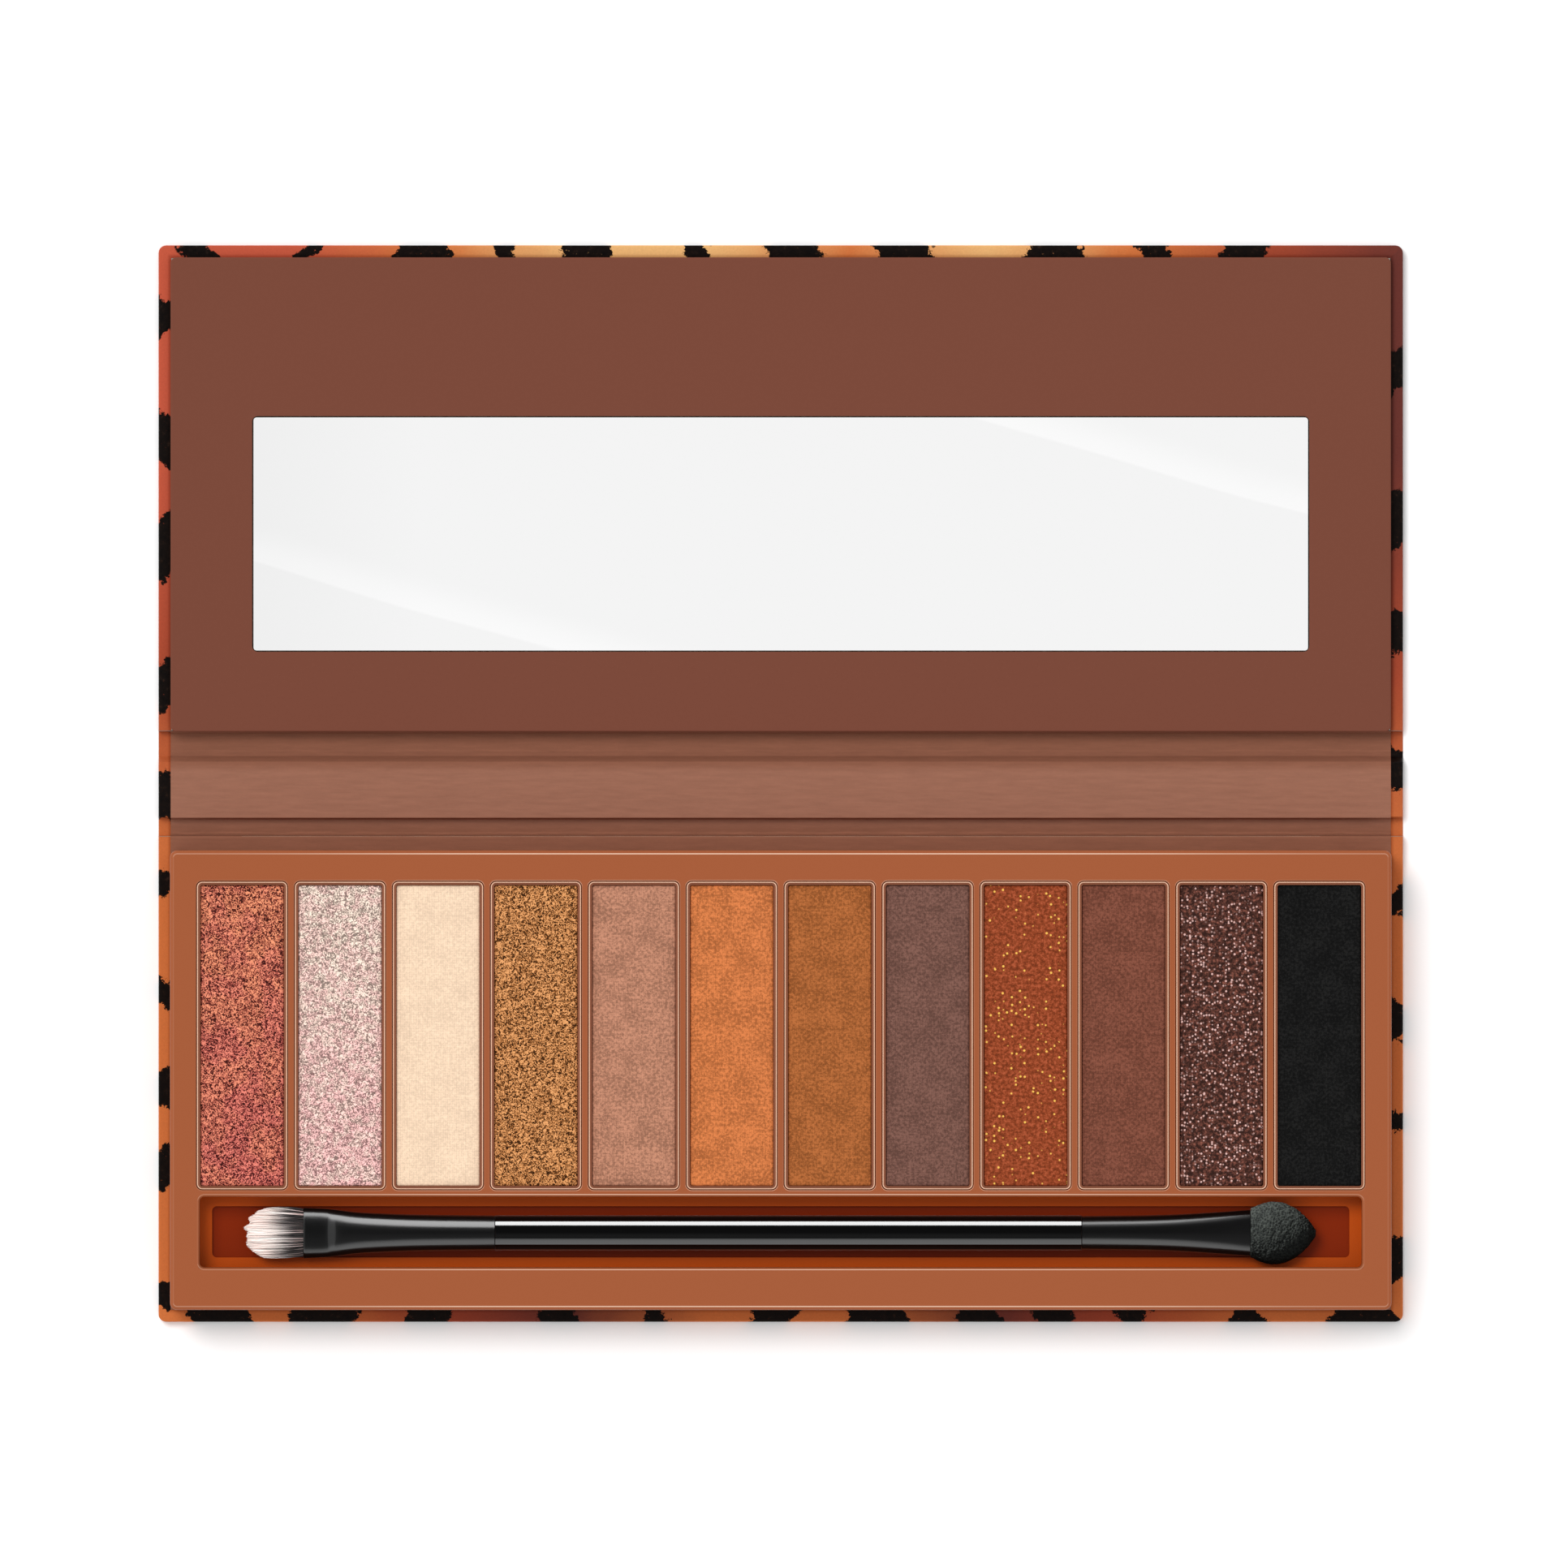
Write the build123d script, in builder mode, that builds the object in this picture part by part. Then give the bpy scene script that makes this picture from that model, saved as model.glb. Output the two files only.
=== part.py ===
from build123d import *
import os

# A slim book-style eyeshadow palette lying open and flat.  A hard case of three wrapped greyboard
# panels (base, spine, lid) folds along two paper creases.  The base carries a moulded tray with twelve
# pans of pressed powder and a well for a double-ended applicator; the lid carries a framed mirror.
# Frame: origin at the middle of the open footprint, on the resting plane; +X to the right, +Y from the
# tray towards the lid, +Z up.  All sizes are in millimetres.

# ---- case ----
case_width = 180.0
panel_depth = 70.7          # base panel and lid panel, from fold line to free edge
spine_height = 14.3         # between the two fold lines: the closed palette's thickness
corner_radius = 1.1         # free corners of the case, seen from above
wrap_edge_radius = 0.25     # paper turned over a board's edge
board = 1.5                 # greyboard
paper = 0.12                # printed wrap, lining paper and the glue film that levels the turn-ins
turn_in = 12.0              # how far the printed wrap is folded onto the inner face
margin = 1.75               # printed border left showing around the lining
edge_gap = 0.45             # from a fold line to the edge of the base or lid stack
ramp_base, ramp_lid = 0.25, 0.8     # slopes of the lining up onto the spine board
fold_room = 0.09            # air left beside the spine board when a fold is closed

# ---- lid ----
frame_board = 1.2
mirror_width, mirror_depth, mirror_thickness, mirror_radius = 152.8, 34.0, 1.1, 0.6
mirror_gap = 0.2            # dark line around the glass
mirror_distance = 28.95     # from the lid's fold line to the mirror's centre line
liner_edge_radius = 0.25

# ---- tray ----
tray_width, tray_depth, tray_height = 176.5, 66.4, 8.9
tray_front_margin = 1.8
tray_corner_radius, tray_edge_radius = 1.0, 0.6
wall, deck = 1.2, 1.2
adhesive = 0.1

# ---- pans and powders ----
pan_count, pan_pitch = 12, 14.15
pan_width, pan_depth, pan_height, pan_radius = 13.1, 44.5, 3.2, 0.8
pan_wall, pan_floor, pan_proud = 0.5, 0.35, 0.1
pocket_clearance, pocket_edge_radius, pocket_skin = 0.05, 0.15, 1.0
powder_recess, powder_edge_radius = 0.45, 0.25
pan_distance = 41.45        # from the case's front edge to the pans' centre line
glue_dot_radius = 3.0

# ---- applicator well ----
well_width, well_depth, well_sink, well_radius = 167.9, 10.2, 4.5, 0.7
well_edge_radius = 0.4
channel_width, channel_depth, channel_sink = 164.4, 7.4, 0.7
well_distance = 13.05       # from the case's front edge to the well's centre line
rib_spacing, rib_count, rib_thickness = 28.3, 6, 1.0

# ---- magnets ----
magnet_length, magnet_depth = 10.0, 3.0
tray_magnet_height, lid_magnet_height = 1.5, 1.1
magnet_x, magnet_distance = 55.0, 65.75      # from the middle, and from either fold line
magnet_clearance = 0.05
magnet_box_wall = 0.6

# ---- applicator ----
handle_radius, handle_wall = 2.55, 0.35
handle_left, handle_right = -41.3, 43.5
spigot_length, spigot_clearance = 8.0, 0.05
ferrule_mouth, ferrule_skin = -69.0, 0.35
tuft_root, tuft_tip = -64.5, -77.6
stem_end, paddle_end, sponge_point = 67.9, 74.0, 77.5
rest_gap = 0.1              # air between the handle and the channel floor
rest_offset = 0.15          # it lies this much nearer the front wall of its well

# ---- worked-out places ----
fold = spine_height / 2                     # the fold lines lie at y = -fold (base) and +fold (lid)
half_width = case_width / 2
stack = paper + board                       # top of a bare board lying in its wrap
lined = stack + 2 * paper                   # top of the base lining
frame_bottom = stack + paper
liner_top = frame_bottom + frame_board + paper
tray_bottom = lined + adhesive
tray_top = tray_bottom + tray_height
tray_front = -(fold + panel_depth) + tray_front_margin
tray_rear = tray_front + tray_depth
pan_row_y = -(fold + panel_depth) + pan_distance
well_y = -(fold + panel_depth) + well_distance
ledge_z = tray_top - well_sink
channel_z = ledge_z - channel_sink
brush_y = well_y - rest_offset
brush_z = channel_z + handle_radius + rest_gap
spine_from = -fold + lined + fold_room + 2 * paper + ramp_base
spine_to = fold - liner_top - fold_room - 2 * paper - ramp_lid
mirror_y = fold + mirror_distance
pan_columns = [(i - (pan_count - 1) / 2) * pan_pitch for i in range(pan_count)]


def save(piece, name):
    """Label a finished piece and write it as its own STEP file."""
    piece.part.label = name
    export_step(piece.part, f"parts/{name}.step")


def panel_slab(side, near, far, half_across, low, high, radius=0.0):
    """Add or cut a flat slab on the base (side -1) or lid (side +1) panel.

    near and far are distances from that panel's fold line; the two far corners take the radius.
    """
    with BuildSketch(Plane.XY.offset(low)) as outline:
        with Locations((0, side * (fold + (near + far) / 2))):
            Rectangle(2 * half_across, far - near)
        if radius:
            fillet(outline.vertices().sort_by(Axis.Y)[-2:] if side > 0
                   else outline.vertices().sort_by(Axis.Y)[:2], radius)
    return outline.sketch, high - low


def box_at(x, y, low, high, width, depth, radius=0.0):
    """A sketch of a rounded rectangle centred at x, y on the plane z = low, and its height."""
    with BuildSketch(Plane.XY.offset(low)) as outline:
        with Locations((x, y)):
            if radius:
                RectangleRounded(width, depth, radius)
            else:
                Rectangle(width, depth)
    return outline.sketch, high - low


def raise_block(shape, mode=Mode.ADD):
    """Extrude a (sketch, height) pair inside the current part."""
    extrude(shape[0], amount=shape[1], mode=mode)


# ======================= case panels: wrap, board, glue film =======================
def make_wrap(side):
    """Printed paper under one board, round its three free edges and folded onto its inner face."""
    with BuildPart() as wrap:
        raise_block(panel_slab(side, edge_gap, panel_depth, half_width, 0, stack + paper, corner_radius))
        free_edges = [
            edge
            for edge in wrap.edges().group_by(Axis.Z)[0] + wrap.edges().group_by(Axis.Z)[-1]
            if abs(edge.center().Y) > fold + edge_gap + 0.01
        ]
        fillet(free_edges, wrap_edge_radius)
        cavity = panel_slab(side, edge_gap - 0.1, panel_depth - paper, half_width - paper,
                            paper, stack, corner_radius - paper)
        raise_block(cavity, Mode.SUBTRACT)
        raise_block(panel_slab(side, edge_gap - 0.1, panel_depth - turn_in, half_width - turn_in,
                               stack, stack + paper), Mode.SUBTRACT)
    return wrap


def make_board(side):
    """Greyboard that fills the wrap."""
    with BuildPart() as piece:
        raise_block(panel_slab(side, edge_gap, panel_depth - paper, half_width - paper,
                               paper, stack, corner_radius - paper))
    return piece


def make_glue_film(side):
    """Film of glue that levels the inner face between the turn-ins."""
    with BuildPart() as film:
        raise_block(panel_slab(side, edge_gap, panel_depth - turn_in, half_width - turn_in,
                               stack, stack + paper))
    return film


# ======================= spine: three layers over one board =======================
def spine_outline(layer):
    """Points, in (y, z), of the surface `layer` papers above the bare spine board and gutters."""
    rise = layer * paper
    return [
        (-fold, paper + rise),
        (spine_from - ramp_base - rise, paper + rise),
        (spine_from - rise, stack + rise),
        (spine_to + rise, stack + rise),
        (spine_to + ramp_lid + rise, paper + rise),
        (fold, paper + rise),
    ]


def spine_layer(lower, upper, from_x, to_x, mode=Mode.ADD):
    """Add or cut what lies between two outlines, from from_x to to_x along the spine."""
    with BuildSketch(Plane.YZ.offset(from_x)) as section:
        with BuildLine():
            Polyline(*lower, *reversed(upper), close=True)
        make_face()
    extrude(section.sketch, amount=to_x - from_x, mode=mode)


def make_spine_wrap():
    """Printed paper under the spine, closed over both ends of its board and turned in."""
    floor = [(-fold, 0), (fold, 0)]
    inner_floor = [(-fold, paper), (fold, paper)]
    with BuildPart() as wrap:
        spine_layer(floor, spine_outline(1), -half_width, half_width)
        spine_layer(inner_floor, spine_outline(1), turn_in - half_width, half_width - turn_in, Mode.SUBTRACT)
        with BuildSketch(Plane.YZ.offset(paper - half_width)) as cavity:
            with BuildLine():
                Polyline(*spine_outline(0)[1:5], close=True)
            make_face()
        extrude(cavity.sketch, amount=case_width - 2 * paper, mode=Mode.SUBTRACT)
    return wrap


def make_spine_board():
    """Narrow greyboard strip of the spine."""
    with BuildPart() as piece:
        with BuildSketch(Plane.XY.offset(paper)):
            with Locations((0, (spine_from + spine_to) / 2)):
                Rectangle(case_width - 2 * paper, spine_to - spine_from)
        extrude(amount=board)
    return piece


def make_spine_glue_film():
    """Glue film over the spine board and gutters, between the turn-ins."""
    with BuildPart() as film:
        reach = half_width - turn_in
        spine_layer(spine_outline(0), spine_outline(1), -reach, reach)
    return film


def make_spine_liner():
    """Brown lining paper pressed into both gutters and over the spine board."""
    with BuildPart() as liner:
        reach = half_width - margin
        spine_layer(spine_outline(1), spine_outline(2), -reach, reach)
    return liner


# ======================= lid: frame board, lining, mirror, magnets =======================
def window(grow, low, high):
    """The mirror's window, larger than the glass by its gap and by grow all round."""
    extra = 2 * (mirror_gap + grow)
    return box_at(0, mirror_y, low, high, mirror_width + extra, mirror_depth + extra,
                  mirror_radius + mirror_gap + grow)


def lid_frame_slab(inset, low, high):
    """Outline of the raised lid panel, drawn in by inset."""
    return panel_slab(1, edge_gap + inset, panel_depth - margin - inset, half_width - margin - inset, low, high)


def make_mirror_frame():
    """Board around the mirror, with slots for the two lid magnets."""
    with BuildPart() as frame:
        raise_block(lid_frame_slab(paper, frame_bottom, liner_top - paper))
        raise_block(window(paper, frame_bottom, liner_top), Mode.SUBTRACT)
        for x in (-magnet_x, magnet_x):
            raise_block(box_at(x, fold + magnet_distance, frame_bottom, liner_top - paper,
                               magnet_length + 2 * magnet_clearance,
                               magnet_depth + 2 * magnet_clearance), Mode.SUBTRACT)
    return frame


def make_lid_liner():
    """Brown paper over the frame board, down its edges and the window's edges."""
    with BuildPart() as liner:
        raise_block(lid_frame_slab(0, frame_bottom, liner_top))
        fillet(liner.faces().sort_by(Axis.Z)[-1].edges(), liner_edge_radius)
        raise_block(lid_frame_slab(paper, frame_bottom, liner_top - paper), Mode.SUBTRACT)
        raise_block(window(paper, frame_bottom, liner_top - paper))
        raise_block(window(0, frame_bottom, liner_top), Mode.SUBTRACT)
    return liner


def make_mirror():
    """Silvered glass plate bedded on the glue film inside the window."""
    with BuildPart() as mirror:
        raise_block(box_at(0, mirror_y, frame_bottom, frame_bottom + mirror_thickness,
                           mirror_width, mirror_depth, mirror_radius))
        chamfer(mirror.faces().sort_by(Axis.Z)[-1].edges(), 0.15)
    return mirror


def make_magnets(y, low, height):
    """A pair of bar magnets."""
    with BuildPart() as magnets:
        for x in (-magnet_x, magnet_x):
            raise_block(box_at(x, y, low, low + height, magnet_length, magnet_depth))
    return magnets


# ======================= base: lining, adhesive, tray =======================
def make_base_liner():
    """Brown lining paper over the base board, seen between the tray and the fold."""
    with BuildPart() as liner:
        raise_block(panel_slab(-1, edge_gap, panel_depth - margin, half_width - margin, stack + paper, lined))
    return liner


def tray_block(inset, low, high, radius):
    """Outline of the tray drawn in by inset."""
    return box_at(0, (tray_front + tray_rear) / 2, low, high,
                  tray_width - 2 * inset, tray_depth - 2 * inset, radius)


def make_tray_adhesive():
    """Double-sided sheet that holds the tray on the base lining."""
    with BuildPart() as sheet:
        raise_block(tray_block(0.3, lined, tray_bottom, tray_corner_radius))
    return sheet


def make_tray():
    """Moulded tray: a skirted deck with twelve pan pockets, the applicator well, ribs and magnet boxes."""
    pocket_floor = tray_top + pan_proud - pan_height - adhesive
    row_width = (pan_count - 1) * pan_pitch + pan_width
    rib_top = tray_top - deck
    with BuildPart() as tray:
        raise_block(tray_block(0, tray_bottom, tray_top, tray_corner_radius))
        fillet(tray.faces().sort_by(Axis.Z)[-1].edges(), tray_edge_radius)
        raise_block(tray_block(wall, tray_bottom, rib_top, 0), Mode.SUBTRACT)
        # solid stock for the pockets and the well, under the deck
        raise_block(box_at(0, pan_row_y, pocket_floor - pocket_skin, rib_top,
                           row_width + 2 * pocket_skin, pan_depth + 2 * pocket_skin))
        raise_block(box_at(0, well_y, channel_z - pocket_skin, rib_top,
                           well_width + 2 * pocket_skin, well_depth + 2 * pocket_skin))
        for i in range(rib_count):
            x = (i - (rib_count - 1) / 2) * rib_spacing
            raise_block(box_at(x, (tray_front + tray_rear) / 2, tray_bottom, rib_top,
                               rib_thickness, tray_depth - 2 * wall))
        magnet_y = -fold - magnet_distance
        for x in (-magnet_x, magnet_x):
            raise_block(box_at(x, magnet_y, rib_top - 2 * tray_magnet_height, rib_top,
                               magnet_length + 2 * magnet_box_wall, magnet_depth + 2 * magnet_box_wall))
        # pockets, well and magnet slots
        for x in pan_columns:
            raise_block(box_at(x, pan_row_y, pocket_floor, tray_top,
                               pan_width + 2 * pocket_clearance, pan_depth + 2 * pocket_clearance,
                               pan_radius + pocket_clearance), Mode.SUBTRACT)
        raise_block(box_at(0, well_y, ledge_z, tray_top, well_width, well_depth, well_radius), Mode.SUBTRACT)
        raise_block(box_at(0, well_y, channel_z, ledge_z, channel_width, channel_depth, well_radius),
                    Mode.SUBTRACT)
        for x in (-magnet_x, magnet_x):
            raise_block(box_at(x, magnet_y, rib_top - 2 * tray_magnet_height, rib_top,
                               magnet_length + 2 * magnet_clearance,
                               magnet_depth + 2 * magnet_clearance), Mode.SUBTRACT)
        mouths = tray.faces().filter_by(Axis.Z).sort_by(Axis.Z)[-1].inner_wires()
        pocket_mouths = mouths.sort_by(Axis.Y)[1:]
        fillet([edge for mouth in pocket_mouths for edge in mouth.edges()], pocket_edge_radius)
        well_mouth = tray.faces().filter_by(Axis.Z).sort_by(Axis.Z)[-1].inner_wires().sort_by(Axis.Y)[0]
        fillet(well_mouth.edges(), well_edge_radius)
    return tray


# ======================= pans, glue dots and powders =======================
def make_pan(x):
    """Shallow drawn pan with a rounded rim."""
    bottom = tray_top + pan_proud - pan_height
    with BuildPart() as pan:
        raise_block(box_at(x, pan_row_y, bottom, bottom + pan_height, pan_width, pan_depth, pan_radius))
        raise_block(box_at(x, pan_row_y, bottom + pan_floor, bottom + pan_height,
                           pan_width - 2 * pan_wall, pan_depth - 2 * pan_wall, pan_radius - pan_wall),
                    Mode.SUBTRACT)
        fillet(pan.faces().sort_by(Axis.Z)[-1].edges(), pan_wall * 0.45)
    return pan


def make_powder(x):
    """Pressed powder cake, a little below the rim, with a softened edge."""
    bottom = tray_top + pan_proud - pan_height + pan_floor
    height = pan_height - pan_floor - powder_recess
    with BuildPart() as powder:
        raise_block(box_at(x, pan_row_y, bottom, bottom + height,
                           pan_width - 2 * pan_wall, pan_depth - 2 * pan_wall, pan_radius - pan_wall))
        fillet(powder.faces().sort_by(Axis.Z)[-1].edges(), powder_edge_radius)
    return powder


def make_pan_glue_dots():
    """Three dots of glue under each pan."""
    with BuildPart() as dots:
        low = tray_top + pan_proud - pan_height - adhesive
        for x in pan_columns:
            for y in (-1, 0, 1):
                with BuildSketch(Plane.XY.offset(low)):
                    with Locations((x, pan_row_y + y * pan_depth / 3)):
                        Circle(glue_dot_radius)
                extrude(amount=adhesive)
    return dots


# ======================= applicator =======================
def across(x):
    """Plane across the applicator at x, with its own x axis along the row's y."""
    return Plane(origin=(x, brush_y, brush_z), x_dir=(0, 1, 0), z_dir=(1, 0, 0))


def ellipse_loft(sections, shrink=0.0, straight=False, mode=Mode.ADD):
    """Loft ellipses given as (x, half width, half thickness), each drawn in by shrink."""
    rings = []
    for x, half_y, half_z in sections:
        with BuildSketch(across(x)) as ring:
            Ellipse(half_y - shrink, half_z - shrink)
        rings.append(ring.sketch)
    loft(rings, ruled=straight, mode=mode)


def round_bar(from_x, to_x, radius, mode=Mode.ADD):
    """A cylinder along the applicator."""
    with BuildSketch(across(from_x)) as ring:
        Circle(radius)
    extrude(ring.sketch, amount=to_x - from_x, mode=mode)


def make_handle_tube():
    """Thin metal tube between the two heads."""
    with BuildPart() as tube:
        round_bar(handle_left, handle_right, handle_radius)
        chamfer(tube.edges().filter_by(GeomType.CIRCLE), 0.12)
        round_bar(handle_left, handle_right, handle_radius - handle_wall, Mode.SUBTRACT)
    return tube


ferrule_sections = [
    (ferrule_mouth, 3.65, 1.40),
    (-65.5, 3.50, 1.50),
    (-61.5, 3.02, 1.85),
    (-53.0, 2.65, 2.35),
    (handle_left, 2.52, 2.52),
]
stem_sections = [
    (handle_right, 2.45, 2.45),
    (56.0, 2.62, 2.25),
    (63.8, 3.05, 1.80),
    (stem_end, 3.35, 1.50),
]
sponge_sections = [
    (stem_end, 3.40, 1.75),
    (69.0, 4.15, 2.10),
    (71.0, 4.58, 2.30),
    (73.6, 3.95, 2.10),
    (75.9, 2.40, 1.50),
    (sponge_point, 0.60, 0.40),
]


def make_brush_ferrule():
    """Hollow ferrule, flattened at the mouth, with a spigot in the handle tube."""
    with BuildPart() as ferrule:
        ellipse_loft(ferrule_sections, straight=True)
        ellipse_loft(ferrule_sections[:4], ferrule_skin, True, Mode.SUBTRACT)
        round_bar(handle_left, handle_left + spigot_length, handle_radius - handle_wall - spigot_clearance)
    return ferrule


def make_bristle_tuft():
    """Flat filbert tuft: its plan outline crossed with its side outline, on a root in the ferrule."""
    sides = [(ferrule_mouth, 3.45), (-72.5, 3.80), (-75.2, 3.70)]
    with BuildPart() as tuft:
        with BuildSketch(Plane.XY.offset(brush_z - 1.5)) as plan:
            with BuildLine():
                upper = Polyline(*[(x, brush_y + y) for x, y in sides])
                lower = Polyline(*[(x, brush_y - y) for x, y in sides])
                Line(upper @ 0, lower @ 0)
                ThreePointArc(upper @ 1, (tuft_tip, brush_y), lower @ 1)
            make_face()
        extrude(plan.sketch, amount=3.0)
        with BuildSketch(Plane.XZ.offset(4 - brush_y)) as side:
            with BuildLine():
                Polyline((ferrule_mouth, brush_z - 1.15), (-72.5, brush_z - 1.3), (tuft_tip, brush_z - 0.5),
                         (tuft_tip, brush_z + 0.5), (-72.5, brush_z + 1.3), (ferrule_mouth, brush_z + 1.15),
                         close=True)
            make_face()
        extrude(side.sketch, amount=-8, mode=Mode.INTERSECT)
        with BuildSketch(across(ferrule_mouth)) as root:
            Ellipse(3.1, 0.95)
        extrude(root.sketch, amount=tuft_root - ferrule_mouth)
    return tuft


def make_sponge_stem():
    """Moulded stem with a spigot in the handle tube and a flat paddle inside the sponge."""
    with BuildPart() as stem:
        ellipse_loft(stem_sections, straight=True)
        round_bar(handle_right - spigot_length, handle_right, handle_radius - handle_wall - spigot_clearance)
        with BuildSketch(across(stem_end)) as paddle:
            RectangleRounded(3.6, 1.2, 0.4)
        extrude(paddle.sketch, amount=paddle_end - stem_end)
    return stem


def make_sponge_tip():
    """Pointed foam tip pulled over the stem's paddle."""
    with BuildPart() as sponge:
        ellipse_loft(sponge_sections)
        with BuildSketch(across(stem_end)) as paddle:
            RectangleRounded(3.6, 1.2, 0.4)
        extrude(paddle.sketch, amount=paddle_end - stem_end, mode=Mode.SUBTRACT)
    return sponge


os.makedirs("parts", exist_ok=True)

for panel, side in (("base", -1), ("lid", 1)):
    save(make_wrap(side), f"{panel}_wrap")
    save(make_board(side), f"{panel}_board")
    save(make_glue_film(side), f"{panel}_glue_film")

save(make_spine_wrap(), "spine_wrap")
save(make_spine_board(), "spine_board")
save(make_spine_glue_film(), "spine_glue_film")
save(make_spine_liner(), "spine_liner")

save(make_mirror_frame(), "mirror_frame")
save(make_lid_liner(), "lid_liner")
save(make_mirror(), "mirror")
save(make_magnets(fold + magnet_distance, frame_bottom, lid_magnet_height), "lid_magnets")

save(make_base_liner(), "base_liner")
save(make_tray_adhesive(), "tray_adhesive")
save(make_tray(), "tray")
save(make_magnets(-fold - magnet_distance, tray_top - deck - tray_magnet_height, tray_magnet_height),
     "tray_magnets")
save(make_pan_glue_dots(), "pan_glue_dots")
for number, column in enumerate(pan_columns, start=1):
    save(make_pan(column), f"pan_{number:02d}")
    save(make_powder(column), f"powder_{number:02d}")

save(make_handle_tube(), "handle_tube")
save(make_brush_ferrule(), "brush_ferrule")
save(make_bristle_tuft(), "bristle_tuft")
save(make_sponge_stem(), "sponge_stem")
save(make_sponge_tip(), "sponge_tip")
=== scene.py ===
"""Looks of the open eyeshadow palette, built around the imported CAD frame.

Helper functions take millimetres. A mesh becomes metres when it is made, in the frame of the CAD part:
x runs along the folds, y from the front of the tray to the far edge of the lid, z up from the table.
"""

import math

import bmesh
import bpy
import numpy as np
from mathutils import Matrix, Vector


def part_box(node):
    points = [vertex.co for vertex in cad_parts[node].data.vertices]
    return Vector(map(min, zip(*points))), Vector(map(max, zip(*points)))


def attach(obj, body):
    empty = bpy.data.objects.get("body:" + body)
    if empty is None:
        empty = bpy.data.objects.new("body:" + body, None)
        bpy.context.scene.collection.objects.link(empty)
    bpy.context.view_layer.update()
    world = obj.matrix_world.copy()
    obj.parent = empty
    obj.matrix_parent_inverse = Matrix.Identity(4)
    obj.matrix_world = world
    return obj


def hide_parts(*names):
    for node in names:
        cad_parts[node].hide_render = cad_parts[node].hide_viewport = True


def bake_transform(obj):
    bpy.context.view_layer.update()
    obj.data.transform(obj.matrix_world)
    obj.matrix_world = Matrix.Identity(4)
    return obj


MM = 0.001
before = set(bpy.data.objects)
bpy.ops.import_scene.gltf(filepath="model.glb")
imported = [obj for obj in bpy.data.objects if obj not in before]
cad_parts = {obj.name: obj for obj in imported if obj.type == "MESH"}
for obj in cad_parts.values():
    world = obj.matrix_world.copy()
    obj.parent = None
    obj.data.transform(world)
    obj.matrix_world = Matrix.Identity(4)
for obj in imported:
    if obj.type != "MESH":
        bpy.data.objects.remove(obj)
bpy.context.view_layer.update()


def box_mm(node):
    """Lowest and highest corner of a CAD node, in millimetres."""
    low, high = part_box(node)
    return np.array(low) / MM, np.array(high) / MM


# ======================= sizes taken from the frame =======================
case_low, case_high = box_mm("base_wrap")[0], box_mm("lid_wrap")[1]
half_width = case_high[0]
case_front, case_rear = case_low[1], case_high[1]
fold = -box_mm("spine_liner")[0][1]
wrap_top = box_mm("base_wrap")[1][2]
liner_low, liner_high = box_mm("base_liner")
lid_liner_low, lid_liner_high = box_mm("lid_liner")
spine_board_low, spine_board_high = box_mm("spine_board")
board_rear_of_base = box_mm("base_board")[1][1]
board_front_of_lid = box_mm("lid_board")[0][1]
tray_high = box_mm("tray")[1]
mirror_low, mirror_high = box_mm("mirror")
tube_low, tube_high = box_mm("handle_tube")
tuft_low, tuft_high = box_mm("bristle_tuft")
mouth = box_mm("brush_ferrule")[0][0]
sponge_low, sponge_high = box_mm("sponge_tip")
axis_y = (tube_low[1] + tube_high[1]) / 2
axis_z = (tube_low[2] + tube_high[2]) / 2
tube_radius = (tube_high[1] - tube_low[1]) / 2
PAPER = 0.12


# ======================= meshes =======================
def new_object(name, data):
    """An object in the scene that shows a mesh, a light or a camera."""
    made = bpy.data.objects.new(name, data)
    bpy.context.scene.collection.objects.link(made)
    return made


def make_piece(name, points, faces, sharp_degrees=40):
    """A mesh object from millimetre points. Doubled points are merged and faces without area are dropped."""
    work = bmesh.new()
    corners = [work.verts.new(np.asarray(p, float) * MM) for p in points]
    for face in faces:
        work.faces.new([corners[i] for i in face])
    bmesh.ops.remove_doubles(work, verts=work.verts, dist=2e-6)
    bmesh.ops.dissolve_degenerate(work, edges=work.edges, dist=1e-7)
    mesh = bpy.data.meshes.new(name)
    work.to_mesh(mesh)
    work.free()
    mesh.shade_smooth()
    mesh.set_sharp_from_angle(angle=math.radians(sharp_degrees))
    return new_object(name, mesh)


CORNER_STEPS = 6


def ring(box, radius, inset, height, xs, ys):
    """Points of a rounded rectangle drawn inside box, anticlockwise.

    height is a number or a function of x and y.
    """
    x0, x1, y0, y1 = box
    margin = max(inset, radius)
    xs = np.clip(xs, x0 + margin, x1 - margin)
    ys = np.clip(ys, y0 + margin, y1 - margin)
    flat = [(x, y0 + inset) for x in xs]
    turns = np.linspace(0, math.pi / 2, CORNER_STEPS + 1)

    def corner(x, y, across, along, start):
        if inset >= radius:
            return [(x - across * inset, y - along * inset)] * (CORNER_STEPS + 1)
        reach = radius - inset
        middle_x, middle_y = x - across * radius, y - along * radius
        return [(middle_x + reach * math.cos(start + turn), middle_y + reach * math.sin(start + turn))
                for turn in turns]

    flat += corner(x1, y0, 1, -1, -math.pi / 2)
    flat += [(x1 - inset, y) for y in ys]
    flat += corner(x1, y1, 1, 1, 0)
    flat += [(x, y1 - inset) for x in xs[::-1]]
    flat += corner(x0, y1, -1, 1, math.pi / 2)
    flat += [(x0 + inset, y) for y in ys[::-1]]
    flat += corner(x0, y0, -1, -1, math.pi)
    level = height if callable(height) else lambda x, y: height
    return [(x, y, level(x, y)) for x, y in flat]


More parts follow.
